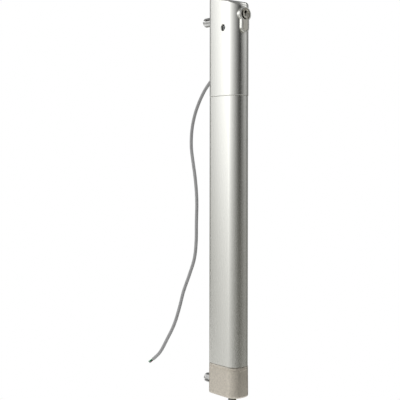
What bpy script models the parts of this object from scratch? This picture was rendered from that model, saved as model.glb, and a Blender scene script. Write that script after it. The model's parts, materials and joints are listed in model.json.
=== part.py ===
"""Surface-mounted electric drop bolt: a linear actuator that pushes a steel rod down out of a
slim upright housing. Metres, +Z up. The origin is on the flat rear face, midway between the two
fixing sleeves. The lock faces -Y, the mounting face +Y, and the rod leaves at the bottom, -Z."""

import math

import bmesh
import bpy
from mathutils import Matrix, Vector
from mathutils.geometry import interpolate_bezier

# ---------------------------------------------------------------- driving dimensions
BODY_WIDTH = 0.036
BODY_DEPTH = 0.0595
FRONT_RADIUS = 0.013
REAR_RADIUS = 0.008
TUBE_WALL = 0.002
CASTING_STEP = 0.0004  # how far the head and the cap stand proud of the tube
HEAD_WALL = 0.0024
GAP = 0.0003

CAP_BOTTOM_Z = -0.283
CAP_TOP_Z = -0.239
HEAD_BOTTOM_Z = 0.1536
ROOF_REAR_Z = 0.3011
ROOF_SLOPE = 0.22
ROOF_SIDE_RADIUS = 0.0032
ROOF_FRONT_RADIUS = 0.0062
CAP_DRAFT = 0.0005

DRIVE_Y = -0.0363  # the rod, the screw and the motor share this upright axis
ROD_RADIUS = 0.006
ROD_TIP_Z = -0.295
STROKE = 0.090
SCREW_RADIUS = 0.004
SCREW_BOTTOM_Z = -0.130
HEX_RADIUS = 0.0046
NUT_TOP_Z = -0.017
CARRIAGE_TOP_Z = -0.0203
CARRIAGE_BOTTOM_Z = -0.052
MAGNET_Z = -0.036

LOCK_FRONT_Y = -0.0638
LOCK_LENGTH = 0.0383
PLUG_BOSS = 0.0013  # how far the plug stands out of the cylinder's face
LOCK_AXIS_Z = 0.2702
LOCK_HEAD_RADIUS = 0.0085
LOCK_TAIL_HALF = 0.005
LOCK_BOTTOM_Z = 0.2457
COLLAR_FRONT_Y = -0.0635  # the raised collar round the lock, cast on the head
COLLAR_ROOT_Y = -0.0578
COLLAR_WALL = 0.0020
COLLAR_SPREAD = 1.08  # it is a little wider than it is tall
CAM_CENTRE_Y = LOCK_FRONT_Y + 0.0283
CAM_WIDTH = 0.0094
CAM_REACH = 0.0135
CAM_HALF = 0.003
TAB_HALF = 0.0044  # of the release tab under the cam's finger, along Y
CAM_REST_ANGLE = math.radians(15)
LOCK_SCREW_Z = 0.2519
ACCESS_HOLE_RADIUS = 0.005

FIXING_HEIGHT = 0.2674  # of each rear fixing above and below the origin
TOP_FIXING_TIP_Y = 0.0240  # the lower sleeve is screwed further in
BOTTOM_FIXING_TIP_Y = 0.0206
SLEEVE_RADIUS = 0.0068
SCREW_X = (-0.006, 0.006)  # the paired screws of the head and the cap
HEAD_SCREW_Z = 0.1645
TUBE_SCREW_Z = 0.1495
CAP_SCREW_Z = -0.2335
SCREW_HEAD_RADIUS = 0.0032
SCREW_HEAD_DEPTH = 0.0016
SCREW_SHANK_RADIUS = 0.0016
SCREW_HOLE_RADIUS = SCREW_SHANK_RADIUS + GAP
GROMMET_Z = 0.1860
NOSE_SIDES = 16

WEB_TOP_Z = 0.161  # the bulkhead's web, which carries the chassis
WEB_THICK = 0.003
GEAR_PLATE_Z = 0.0353
BEARING_PLATE_Z = -0.009
BOARD_BACK_Y = -0.0301
BOARD_FRONT_Y = BOARD_BACK_Y - 0.0016

RELEASE_X = 0.009  # the release rod's axis
RELEASE_Y = -0.0145
RELEASE_COLLAR_Z = 0.190
TAB_TOP_Z = LOCK_AXIS_Z - 0.0023
FORK_Z = 0.019
FORK_THICK = 0.0024
CLUTCH_BOTTOM_Z = 0.011
CLUTCH_TOP_Z = 0.0281
CLUTCH_RADIUS = 0.010

MOTOR_BOTTOM_Z = 0.066
MOTOR_TOP_Z = 0.1277
RING_BOTTOM_Z = 0.038
GEAR_LOW_Z = 0.044
GEAR_HIGH_Z = 0.054
TOOTH_SHARE = 0.86  # of half the tooth pitch: the rest is backlash
PIN_RADIUS = 0.0014
GEAR_MODULE = 0.0006
SUN_TEETH = 12
PLANET_TEETH = 12
RING_TEETH = 36
PLANET_COUNT = 3
PLANET_ORBIT = GEAR_MODULE * (SUN_TEETH + PLANET_TEETH) / 2

CABLE_RADIUS = 0.0025
CABLE_STEP = 0.012
CABLE_ROUTE = [
    (0.0000, 0.0082, 0.1817),
    (-0.0004, 0.0160, 0.1755),
    (-0.0012, 0.0275, 0.1632),
    (-0.0025, 0.0385, 0.1460),
    (-0.0040, 0.0465, 0.1270),
    (-0.0058, 0.0505, 0.1050),
    (-0.0080, 0.0490, 0.0800),
    (-0.0108, 0.0410, 0.0550),
    (-0.0138, 0.0320, 0.0290),
    (-0.0170, 0.0250, -0.0010),
    (-0.0205, 0.0215, -0.0320),
    (-0.0240, 0.0180, -0.0630),
    (-0.0275, 0.0180, -0.0870),
    (-0.0315, 0.0240, -0.1100),
    (-0.0365, 0.0320, -0.1360),
    (-0.0415, 0.0360, -0.1610),
    (-0.0465, 0.0420, -0.1860),
    (-0.0515, 0.0535, -0.2100),
    (-0.0555, 0.0660, -0.2310),
    (-0.0620, 0.0835, -0.2475),
]

LEAD_END_Y = DRIVE_Y - 0.0013  # just in front of the motor's terminals
RED_LEAD_ROUTE = [
    (-0.0055, -0.0345, 0.1735),
    (-0.0050, -0.0375, 0.1680),
    (-0.0045, -0.0385, 0.1595),
    (-0.0060, -0.0390, 0.1480),
    (-0.0060, LEAD_END_Y, 0.1370),
    (-0.0060, LEAD_END_Y, 0.1340),
]
BLACK_LEAD_ROUTE = [
    (-0.0015, -0.0345, 0.1735),
    (-0.0020, -0.0390, 0.1680),
    (-0.0022, -0.0410, 0.1595),
    (0.0020, -0.0405, 0.1480),
    (0.0060, LEAD_END_Y, 0.1370),
    (0.0060, LEAD_END_Y, 0.1340),
]

# ---------------------------------------------------------------- finishes
FINISHES = {
    "anodised": ((0.62, 0.62, 0.60), 0.32, 1.0),
    "casting": ((0.46, 0.42, 0.36), 0.62, 0.6),
    "nickel": ((0.55, 0.52, 0.44), 0.35, 1.0),
    "steel": ((0.36, 0.36, 0.35), 0.30, 1.0),
    "dark_steel": ((0.10, 0.10, 0.09), 0.38, 1.0),
    "zinc": ((0.52, 0.54, 0.56), 0.38, 1.0),
    "brass": ((0.65, 0.47, 0.20), 0.35, 1.0),
    "bronze": ((0.45, 0.30, 0.15), 0.45, 1.0),
    "black_rubber": ((0.03, 0.03, 0.03), 0.75, 0.0),
    "grey_pvc": ((0.30, 0.30, 0.30), 0.55, 0.0),
    "white_nylon": ((0.80, 0.79, 0.75), 0.50, 0.0),
    "green_board": ((0.03, 0.20, 0.08), 0.45, 0.0),
    "green_plastic": ((0.05, 0.35, 0.12), 0.45, 0.0),
    "blue_plastic": ((0.05, 0.12, 0.40), 0.45, 0.0),
    "red_pvc": ((0.50, 0.03, 0.02), 0.50, 0.0),
    "black_pvc": ((0.02, 0.02, 0.02), 0.50, 0.0),
}


def finish(name):
    """The named Principled material, made once."""
    material = bpy.data.materials.get(name)
    if material:
        return material
    colour, roughness, metallic = FINISHES[name]
    material = bpy.data.materials.new(name)
    material.use_nodes = True
    shader = material.node_tree.nodes["Principled BSDF"]
    shader.inputs["Base Color"].default_value = (*colour, 1.0)
    shader.inputs["Roughness"].default_value = roughness
    shader.inputs["Metallic"].default_value = metallic
    return material


# ---------------------------------------------------------------- outlines
def arc(centre_x, centre_y, radius, start, end, steps):
    """Points on an arc with their outward normals, angles in degrees."""
    points = []
    for i in range(steps + 1):
        angle = math.radians(start + (end - start) * i / steps)
        nx, ny = math.cos(angle), math.sin(angle)
        points.append((centre_x + radius * nx, centre_y + radius * ny, nx, ny))
    return points


def section(inset=0.0, proud=0.0, steps=8):
    """The housing's section, seen from above: x, y and outward normal of each point. The rear
    face stays on y = 0 however far the sides and the front stand proud; inset moves every side."""
    half = BODY_WIDTH / 2 + proud - inset
    rear = -inset
    front = -BODY_DEPTH - proud + inset
    round_front = FRONT_RADIUS + proud - inset
    round_rear = REAR_RADIUS + proud - inset
    return (
        arc(half - round_front, front + round_front, round_front, -90, 0, steps)
        + arc(half - round_rear, rear - round_rear, round_rear, 0, 90, steps - 2)
        + arc(-half + round_rear, rear - round_rear, round_rear, 90, 180, steps - 2)
        + arc(-half + round_front, front + round_front, round_front, 180, 270, steps)
    )


def lock_outline(inset=0.0, steps=20):
    """The Euro profile in x and z: a round head on a narrower tail with a round foot."""
    head = LOCK_HEAD_RADIUS - inset
    tail = LOCK_TAIL_HALF - inset
    foot_z = LOCK_BOTTOM_Z + LOCK_TAIL_HALF
    join = math.degrees(math.asin(tail / head))
    points = arc(0, foot_z, tail, 180, 360, steps // 2)
    points += arc(0, LOCK_AXIS_Z, head, -90 + join, 270 - join, steps)
    return [(x, z) for x, z, _, _ in points]


def box_outline(x0, x1, y0, y1, radius=0.0, steps=3):
    """A rectangle, with rounded corners if it has a radius."""
    if not radius:
        return [(x0, y0), (x1, y0), (x1, y1), (x0, y1)]
    corners = [
        (x1 - radius, y0 + radius, -90),
        (x1 - radius, y1 - radius, 0),
        (x0 + radius, y1 - radius, 90),
        (x0 + radius, y0 + radius, 180),
    ]
    points = []
    for cx, cy, start in corners:
        points += arc(cx, cy, radius, start, start + 90, steps)
    return [(x, y) for x, y, _, _ in points]


def circle_outline(cx, cy, radius, steps=24):
    return [
        (cx + radius * math.cos(math.tau * i / steps), cy + radius * math.sin(math.tau * i / steps))
        for i in range(steps)
    ]


def gear_outline(teeth, radii, thickness_share, phase):
    """A spur gear's outline about its own axis, with involute flanks cut at 25 degrees, read at
    the given radii from root to tip."""
    pitch_radius = GEAR_MODULE * teeth / 2
    base = pitch_radius * math.cos(math.radians(25))

    def spread(radius):
        """How far round the involute has come at this radius."""
        if radius <= base:
            return 0.0
        roll = math.sqrt((radius / base) ** 2 - 1)
        return roll - math.atan(roll)

    half_at_pitch = math.pi / teeth / 2 * thickness_share
    points = []
    for tooth in range(teeth):
        centre = phase + math.tau * tooth / teeth
        flank = [(r, half_at_pitch + spread(pitch_radius) - spread(r)) for r in radii]
        for radius, half in flank:
            points.append((radius * math.cos(centre - half), radius * math.sin(centre - half)))
        for radius, half in reversed(flank):
            points.append((radius * math.cos(centre + half), radius * math.sin(centre + half)))
    return points


# ---------------------------------------------------------------- solids
def make_object(name, bm, finish_name, smooth=True):
    bmesh.ops.recalc_face_normals(bm, faces=bm.faces)
    mesh = bpy.data.meshes.new(name)
    bm.to_mesh(mesh)
    bm.free()
    mesh.materials.append(finish(finish_name))
    if smooth:
        mesh.shade_smooth()
        mesh.set_sharp_from_angle(angle=math.radians(30))
    obj = bpy.data.objects.new(name, mesh)
    bpy.context.scene.collection.objects.link(obj)
    return obj


def loft(name, rings, finish_name):
    """A closed solid through rings of equally many points, capped at both ends."""
    bm = bmesh.new()
    made = [[bm.verts.new(p) for p in ring] for ring in rings]
    for low, high in zip(made, made[1:]):
        for i in range(len(low)):
            j = (i + 1) % len(low)
            bm.faces.new((low[i], low[j], high[j], high[i]))
    bm.faces.new(list(reversed(made[0])))
    bm.faces.new(made[-1])
    return make_object(name, bm, finish_name)


def prism(name, outline, low, high, finish_name, axis="Z"):
    """An outline extruded between two levels: x, y along Z; x, z along Y; or y, z along X."""
    place = {
        "Z": lambda a, b, level: (a, b, level),
        "Y": lambda a, b, level: (a, level, b),
        "X": lambda a, b, level: (level, a, b),
    }[axis]
    rings = [[place(p[0], p[1], level) for p in outline] for level in (low, high)]
    return loft(name, rings, finish_name)


def box(name, lower, upper, finish_name, bevel=0.0):
    obj = prism(name, box_outline(lower[0], upper[0], lower[1], upper[1]), lower[2], upper[2],
                finish_name)
    if bevel:
        soften(obj, bevel)
    return obj


def turned(name, profile, finish_name, origin=(0, 0, 0), axis="Z", segments=20):
    """A solid turned about an axis. The profile is a closed loop of radius and height."""
    bm = bmesh.new()
    rings = []
    for radius, height in profile:
        if radius == 0:
            rings.append([bm.verts.new((0, 0, height))])
            continue
        rings.append([
            bm.verts.new((radius * math.cos(math.tau * i / segments),
                          radius * math.sin(math.tau * i / segments), height))
            for i in range(segments)
        ])
    pairs = list(zip(rings, rings[1:] + rings[:1]))
    for first, second in pairs:
        if len(first) == 1 and len(second) == 1:
            continue
        for i in range(segments):
            j = (i + 1) % segments
            corners = [first[0]] if len(first) == 1 else [first[i], first[j]]
            corners += [second[0]] if len(second) == 1 else [second[j], second[i]]
            bm.faces.new(corners)
    turn = {"Z": Matrix(), "Y": Matrix.Rotation(-math.pi / 2, 4, "X"),
            "X": Matrix.Rotation(math.pi / 2, 4, "Y")}[axis]
    bm.transform(Matrix.Translation(origin) @ turn)
    return make_object(name, bm, finish_name)


def rod_profile(radius, low, high, chamfer=0.0):
    """A plain bar's profile for turned, with an optional chamfer at both ends."""
    if not chamfer:
        return [(0, low), (radius, low), (radius, high), (0, high)]
    return [(0, low), (radius - chamfer, low), (radius, low + chamfer),
            (radius, high - chamfer), (radius - chamfer, high), (0, high)]


def ring_profile(inner, outer, low, high, chamfer=0.0):
    """A ring's profile for turned, with its outer edges chamfered."""
    if not chamfer:
        return [(inner, low), (outer, low), (outer, high), (inner, high)]
    return [(inner, low), (outer - chamfer, low), (outer, low + chamfer),
            (outer, high - chamfer), (outer - chamfer, high), (inner, high)]


def replace_mesh(obj):
    """Applies the object's modifiers."""
    graph = bpy.context.evaluated_depsgraph_get()
    mesh = bpy.data.meshes.new_from_object(obj.evaluated_get(graph))
    obj.modifiers.clear()
    obj.data = mesh


def soften(obj, width, segments=1):
    """Bevels every edge sharper than 40 degrees."""
    bevel = obj.modifiers.new("soften", "BEVEL")
    bevel.width = width
    bevel.segments = segments
    bevel.limit_method = "ANGLE"
    bevel.angle_limit = math.radians(40)
    replace_mesh(obj)


def combine(obj, tool, operation):
    modifier = obj.modifiers.new(operation.lower(), "BOOLEAN")
    modifier.operation = operation
    modifier.object = tool
    replace_mesh(obj)
    bpy.data.objects.remove(tool, do_unlink=True)


def cut(obj, *tools):
    for tool in tools:
        combine(obj, tool, "DIFFERENCE")


def join(obj, *tools):
    for tool in tools:
        combine(obj, tool, "UNION")


def bore(radius, low, high, origin=(0, 0, 0), axis="Z", segments=20):
    """A cutter for a round hole."""
    return turned("bore", rod_profile(radius, low, high), "steel", origin, axis, segments)


def stepped_bore(steps, origin=(0, 0, 0), axis="Z", segments=24):
    """A cutter for a hole of several diameters: radius, low and high of each, from the bottom."""
    profile = [(0, steps[0][1])]
    for radius, low, high in steps:
        profile += [(radius, low), (radius, high)]
    profile.append((0, steps[-1][2]))
    return turned("stepped_bore", profile, "steel", origin, axis, segments)


def block_cut(lower, upper):
    return box("block_cut", lower, upper, "steel")


def tube_along(name, points, radius, resolution, finish_name):
    """A closed round tube along a run of points."""
    curve = bpy.data.curves.new(name, "CURVE")
    curve.dimensions = "3D"
    curve.bevel_depth = radius
    curve.bevel_resolution = resolution
    curve.use_fill_caps = True
    spline = curve.splines.new("POLY")
    spline.points.add(len(points) - 1)
    for point, place in zip(spline.points, points):
        point.co = (*place, 1)
    obj = bpy.data.objects.new(name, curve)
    bpy.context.scene.collection.objects.link(obj)
    curve.materials.append(finish(finish_name))
    return obj


def pivot(name, position, parent=None):
    """An empty on a joint's axis."""
    empty = bpy.data.objects.new(name, None)
    bpy.context.scene.collection.objects.link(empty)
    empty.empty_display_size = 0.01
    empty.location = Vector(position) - (parent.matrix_world.translation if parent else Vector())
    empty.parent = parent
    bpy.context.view_layer.update()
    return empty


def hang_on(joint, *objects):
    """Makes the objects children of a joint's empty, with their origins on it."""
    where = joint.matrix_world.translation
    for obj in objects:
        obj.data.transform(Matrix.Translation(-where))
        obj.parent = joint


# ---------------------------------------------------------------- housing
def roof_height(y):
    return ROOF_REAR_Z + ROOF_SLOPE * y


def lock_collar():
    """The raised rim round the lock, rooted in the rounded front wall."""
    edge = 0.0006
    outline, face = lock_outline(inset=-COLLAR_WALL), lock_outline(inset=edge - COLLAR_WALL)
    return loft("lock_collar", [
        [(x * COLLAR_SPREAD, COLLAR_FRONT_Y, z) for x, z in face],
        [(x * COLLAR_SPREAD, COLLAR_FRONT_Y + edge, z) for x, z in outline],
        [(x * COLLAR_SPREAD, COLLAR_ROOT_Y, z) for x, z in outline],
    ], "anodised")


def head_cover():
    """The upper casting: a tall shell whose roof falls towards the front, with the lock's collar."""
    base = section(proud=CASTING_STEP)
    lip = 0.0003
    rings = [
        [(x - nx * lip, y - ny * lip, HEAD_BOTTOM_Z) for x, y, nx, ny in base],
        [(x, y, HEAD_BOTTOM_Z + lip) for x, y, _, _ in base],
    ]
    for step in range(6):
        angle = math.radians(90) * step / 5
        ring = []
        for x, y, nx, ny in base:
            radius = ROOF_SIDE_RADIUS + (ROOF_FRONT_RADIUS - ROOF_SIDE_RADIUS) * max(0, -ny) ** 2
            inward = radius * (1 - math.cos(angle))
            px, py = x - nx * inward, y - ny * inward
            ring.append((px, py, roof_height(py) - radius * (1 - math.sin(angle))))
        rings.append(ring)
    cover = loft("head_cover", rings, "anodised")

    hollow = section(inset=HEAD_WALL, proud=CASTING_STEP, steps=5)
    cavity = loft("cavity", [
        [(x, y, HEAD_BOTTOM_Z - 0.01) for x, y, _, _ in hollow],
        [(x, y, roof_height(y) - 0.0042) for x, y, _, _ in hollow],
    ], "anodised")
    cut(cover, cavity)
    join(cover, lock_collar())
    lock_hole = lock_outline(inset=-0.0005)
    cut(cover, prism("lock_hole", lock_hole, -0.075, -0.050, "steel", "Y"))
    cut(cover, bore(ACCESS_HOLE_RADIUS, -0.022, -0.014, (0, CAM_CENTRE_Y, LOCK_SCREW_Z), "X", 32))
    cut(cover, bore(0.0043, -0.006, 0.004, (0, 0, FIXING_HEIGHT), "Y"))
    cut(cover, bore(0.0043, -0.006, 0.004, (0, 0, GROMMET_Z), "Y"))
    for x in SCREW_X:
        cut(cover, countersink(x, HEAD_SCREW_Z))
    return cover


def countersink(x, z):
    """The cutter for one countersunk screw hole in the rear wall."""
    shank, mouth = SCREW_HOLE_RADIUS, SCREW_HEAD_RADIUS + GAP
    profile = [(0, -0.004), (shank, -0.004), (shank, -SCREW_HEAD_DEPTH),
               (2 * mouth - shank, SCREW_HEAD_DEPTH), (0, SCREW_HEAD_DEPTH)]
    return turned("countersink", profile, "steel", (x, 0, z), "Y", 16)


def rear_screw(name, x, z, length):
    """A countersunk screw driven in from the rear face, with a cross recess."""
    head = SCREW_HEAD_RADIUS - 0.0001
    profile = [(0, -length), (SCREW_SHANK_RADIUS, -length),
               (SCREW_SHANK_RADIUS, -SCREW_HEAD_DEPTH - 0.0002), (head, -0.0002), (0, -0.0002)]
    screw = turned(name, profile, "zinc", (x, 0, z), "Y", 12)
    for along in ((0.0018, 0.0003), (0.0003, 0.0018)):
        cut(screw, block_cut((x - along[0], -0.0011, z - along[1]),
                             (x + along[0], 0.001, z + along[1])))
    return screw


def tube():
    """The long extruded profile, its ends chamfered, open at both ends."""
    low, high, edge = CAP_TOP_Z + GAP, HEAD_BOTTOM_Z - GAP, 0.0005
    outer, inner = section(), section(inset=TUBE_WALL, steps=8)
    body = loft("tube", [
        [(x - nx * edge, y - ny * edge, low) for x, y, nx, ny in outer],
        [(x, y, low + edge) for x, y, _, _ in outer],
        [(x, y, high - edge) for x, y, _, _ in outer],
        [(x - nx * edge, y - ny * edge, high) for x, y, nx, ny in outer],
    ], "anodised")
    cut(body, prism("channel", inner, low - 0.01, high + 0.01, "anodised"))
    for x in SCREW_X:
        cut(body, countersink(x, CAP_SCREW_Z))
    for z in (TUBE_SCREW_Z, GEAR_PLATE_Z, BEARING_PLATE_Z):
        cut(body, countersink(0, z))
    return body


def bottom_cap():
    """The lower casting: drafted walls, a shoulder under the tube, and a spigot inside it."""
    shoulder = 0.003
    base = section(proud=CASTING_STEP)
    neck = section(proud=0.0001)
    foot_edge = 0.0022
    outset = CAP_DRAFT - CASTING_STEP / 2
    rings = [
        [(x + nx * (outset - foot_edge), y + min(ny, 0) * (outset - foot_edge), CAP_BOTTOM_Z)
         for x, y, nx, ny in base],
        [(x + nx * (outset - 0.0006), y + min(ny, 0) * (outset - 0.0006), CAP_BOTTOM_Z + 0.0009)
         for x, y, nx, ny in base],
        [(x + nx * outset, y + min(ny, 0) * outset, CAP_BOTTOM_Z + foot_edge)
         for x, y, nx, ny in base],
        [(x, y, CAP_TOP_Z - shoulder) for x, y, _, _ in base],
        [(x, y, CAP_TOP_Z - 0.0012) for x, y, _, _ in neck],
        [(x, y, CAP_TOP_Z) for x, y, _, _ in neck],
    ]
    cap = loft("bottom_cap", rings, "casting")
    spigot = section(inset=TUBE_WALL + GAP, steps=5)
    join(cap, prism("spigot", spigot, CAP_TOP_Z - 0.004, CAP_TOP_Z + 0.010, "casting"))
    pocket = box_outline(-0.0105, 0.0105, -0.0215, -0.0065, 0.003)
    cut(cap, prism("pocket", pocket, -0.260, CAP_TOP_Z + 0.02, "casting"))
    wiper_top = CAP_BOTTOM_Z + 0.0068
    cut(cap, stepped_bore([(0.0093, CAP_BOTTOM_Z - 0.01, wiper_top), (0.0066, wiper_top, -0.262),
                           (0.0113, -0.262, CAP_TOP_Z + 0.02)], (0, DRIVE_Y, 0), segments=32))
    cut(cap, bore(0.0043, -0.0165, 0.004, (0, 0, -FIXING_HEIGHT), "Y"))
    for x in SCREW_X:
        cut(cap, bore(SCREW_HOLE_RADIUS, -0.014, 0.002, (x, 0, CAP_SCREW_Z), "Y", 16))
    return cap


def bulkhead():
    """Joins the head to the tube: a collar inside both, closed by a web that carries the chassis."""
    outer = section(inset=HEAD_WALL + GAP, steps=5)
    inner = section(inset=HEAD_WALL + 0.0018, steps=5)
    collar = prism("bulkhead", outer, WEB_TOP_Z - 0.0155, WEB_TOP_Z + 0.0075, "casting")
    cut(collar, prism("above", inner, WEB_TOP_Z, WEB_TOP_Z + 0.02, "casting"))
    cut(collar, prism("below", inner, WEB_TOP_Z - 0.03, WEB_TOP_Z - WEB_THICK, "casting"))
    cut(collar, bore(0.0024, 0.15, 0.17, (RELEASE_X, RELEASE_Y, 0)))
    cut(collar, bore(0.0045, 0.15, 0.17, (-0.004, -0.040, 0)))
    for x, z in ((SCREW_X[0], HEAD_SCREW_Z), (SCREW_X[1], HEAD_SCREW_Z), (0, TUBE_SCREW_Z)):
        cut(collar, bore(SCREW_HOLE_RADIUS, -0.010, 0.002, (x, 0, z), "Y", 16))
    return collar


# ---------------------------------------------------------------- fixings
def fixing(side, z, tip, slot_angle):
    """One rear fixing: a stud screwed into the housing, a slotted clamping sleeve and a washer."""
    shank = rod_profile(0.004, -0.0105, tip - 0.0012, 0.0006)
    stud = turned(f"{side}_fixing_stud", shank, "dark_steel", (0, 0, z), "Y", 16)
    profile = [(0.0043, 0.0024), (SLEEVE_RADIUS, 0.0024), (SLEEVE_RADIUS, tip - 0.0009),
               (SLEEVE_RADIUS - 0.0009, tip), (0.0043, tip)]
    sleeve = turned(f"{side}_fixing_sleeve", profile, "steel", (0, 0, z), "Y", 32)
    slot = box("slot", (-0.0009, 0.0050, 0.0030), (0.0009, 0.05, 0.0090), "steel")
    slot.data.transform(Matrix.Translation((0, 0, z)) @ Matrix.Rotation(slot_angle, 4, "Y"))
    cut(sleeve, slot)
    washer = turned(f"{side}_fixing_washer", ring_profile(0.0045, 0.0078, GAP, 0.0021),
                    "zinc", (0, 0, z), "Y", 24)
    return stud, sleeve, washer


def top_fixing_block():
    """The steel block behind the head's rear wall that the upper stud is screwed into."""
    block = box("top_fixing_block", (-0.0065, -0.0112, FIXING_HEIGHT - 0.0083),
                (0.0065, -0.0027, FIXING_HEIGHT + 0.0083), "zinc", 0.0004)
    cut(block, bore(0.0043, -0.02, 0.0, (0, 0, FIXING_HEIGHT), "Y"))
    return block


# ---------------------------------------------------------------- lock
def lock_body():
    """The half cylinder's body: front and rear barrels joined under the cam by the tail."""
    edge = 0.0004
    rear = LOCK_FRONT_Y + LOCK_LENGTH
    outline, face = lock_outline(), lock_outline(inset=edge)
    body = loft("lock_body", [
        [(x, LOCK_FRONT_Y, z) for x, z in face],
        [(x, LOCK_FRONT_Y + edge, z) for x, z in outline],
        [(x, rear - edge, z) for x, z in outline],
        [(x, rear, z) for x, z in face],
    ], "nickel")
    low, high = CAM_CENTRE_Y - 0.005, CAM_CENTRE_Y + 0.005
    axis = (0, 0, LOCK_AXIS_Z)
    cut(body, bore(0.0067, LOCK_FRONT_Y - 0.01, CAM_CENTRE_Y, axis, "Y", 40))
    cut(body, block_cut((-0.02, low, LOCK_BOTTOM_Z + 0.0093), (0.02, high, 0.30)))
    cut(body, bore(0.0044, CAM_CENTRE_Y, rear + 0.01, axis, "Y"))
    cut(body, bore(0.0028, -0.01, 0.01, (0, CAM_CENTRE_Y, LOCK_SCREW_Z), "X"))
    return body


def lock_plug():
    """The barrel that the key turns: keyway with a funnel mouth, and a neck through the cam."""
    face, step = LOCK_FRONT_Y - PLUG_BOSS, CAM_CENTRE_Y - 0.0053
    rear = LOCK_FRONT_Y + LOCK_LENGTH - 0.0003
    profile = [(0, face), (0.0054, face), (0.0058, face + 0.0004), (0.0058, face + 0.0050),
               (0.0064, face + 0.0050), (0.0064, step), (0.0040, step), (0.0040, rear), (0, rear)]
    plug = turned("lock_plug", profile, "nickel", (0, 0, LOCK_AXIS_Z), "Y", 40)
    top, bottom = LOCK_AXIS_Z + 0.0050, LOCK_AXIS_Z - 0.0036
    keyway = [(-0.0006, bottom), (0.0006, bottom), (0.0006, top - 0.0046), (0.0014, top - 0.0036),
              (0.0014, top), (-0.0014, top), (-0.0014, top - 0.0036), (-0.0006, top - 0.0046)]
    cut(plug, prism("keyway", keyway, face - 0.01, step - 0.004, "steel", "Y"))
    funnel_z, half = LOCK_AXIS_Z + 0.0026, 0.0028
    diamond = [(0, funnel_z - half * 1.25), (half, funnel_z), (0, funnel_z + half), (-half, funnel_z)]
    deep = [(x * 0.35, funnel_z + (z - funnel_z) * 0.35) for x, z in diamond]
    funnel = loft("funnel", [
        [(x * 1.3, face - 0.0006, funnel_z + (z - funnel_z) * 1.3) for x, z in diamond],
        [(x, face + 0.0018, z) for x, z in deep],
    ], "steel")
    cut(plug, funnel)
    return plug


def lock_cam():
    """The cam: a ring on the plug's neck with one finger, which points sideways at rest."""
    low, high = CAM_CENTRE_Y - CAM_WIDTH / 2, CAM_CENTRE_Y + CAM_WIDTH / 2
    cam = turned("lock_cam", rod_profile(0.0068, low, high), "steel", (0, 0, LOCK_AXIS_Z), "Y", 24)
    finger = box("finger", (0, low, -CAM_HALF), (CAM_REACH, high, CAM_HALF), "steel", 0.0008)
    turn = Matrix.Rotation(-CAM_REST_ANGLE, 4, "Y")
    finger.data.transform(Matrix.Translation((0, 0, LOCK_AXIS_Z)) @ turn)
    join(cam, finger)
    cut(cam, bore(0.0043, low - 0.01, high + 0.01, (0, 0, LOCK_AXIS_Z), "Y"))
    return cam


def lock_screw():
    """The screw that holds the half cylinder, reached through the hole in the left wall."""
    profile = [(0, -0.0154), (0.0039, -0.0154), (0.0043, -0.0150), (0.0043, -0.0097),
               (0.0025, -0.0097), (0.0025, 0.0036), (0.0022, 0.0040), (0, 0.0040)]
    origin = (0, CAM_CENTRE_Y, LOCK_SCREW_Z)
    screw = turned("lock_screw", profile, "steel", origin, "X", 24)
    socket = prism("socket", circle_outline(CAM_CENTRE_Y, LOCK_SCREW_Z, 0.0023, 6), -0.02, -0.0122,
                   "steel", "X")
    cut(screw, socket)
    return screw


def lock_carrier():
    """The angle that the half cylinder is screwed to: a cheek at its left and a floor under it."""
    front, rear = -0.0550, -0.0240
    left = [(-0.0094, 0.2415), (0.0050, 0.2415), (0.0050, 0.2452), (-0.0054, 0.2452),
            (-0.0054, 0.2590), (-0.0094, 0.2590)]
    carrier = prism("lock_carrier", left, front, rear, "zinc", "Y")
    cut(carrier, bore(0.0028, -0.02, 0.0, (0, CAM_CENTRE_Y, LOCK_SCREW_Z), "X"))
    return carrier


# ---------------------------------------------------------------- chassis and electronics
def chassis():
    """The upright plate from the bulkhead to the lock carrier, with two board pillars."""
    plate = box("chassis", (-0.0119, -0.0250, WEB_TOP_Z + GAP), (0.0045, -0.0232, 0.2412), "zinc")
    join(plate, box("foot", (-0.0119, -0.0330, WEB_TOP_Z + GAP), (0.0045, -0.0240, 0.1630), "zinc"))
    for z in (0.178, 0.230):
        pillar = rod_profile(0.0022, BOARD_BACK_Y + GAP, -0.0240)
        join(plate, turned("pillar", pillar, "zinc", (-0.004, 0, z), "Y", 16))
    return plate


def circuit_board():
    return box("circuit_board", (-0.0130, BOARD_FRONT_Y, 0.1720), (0.0050, BOARD_BACK_Y, 0.2360),
               "green_board")


def board_part(name, lower, upper, finish_name, bevel=0.0003):
    """A component standing on the front of the circuit board: x and z limits, and its height."""
    front = BOARD_FRONT_Y - GAP
    return box(name, (lower[0], front - upper[2], lower[1]), (upper[0], front, upper[1]),
               finish_name, bevel)


def terminal_block():
    block = board_part("terminal_block", (-0.0115, 0.2250), (0.0035, 0.2330, 0.0085),
                       "green_plastic")
    for i in range(3):
        x = -0.0090 + 0.0050 * i
        cut(block, bore(0.0013, 0.2290, 0.2400, (x, BOARD_FRONT_Y - 0.0045, 0), segments=12))
    return block


def capacitor():
    height = 0.0140
    front = BOARD_FRONT_Y - GAP
    return turned("capacitor", rod_profile(0.0045, front - height, front, 0.0005), "blue_plastic",
                  (-0.0040, 0, 0.1830), "Y", 24)


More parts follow.
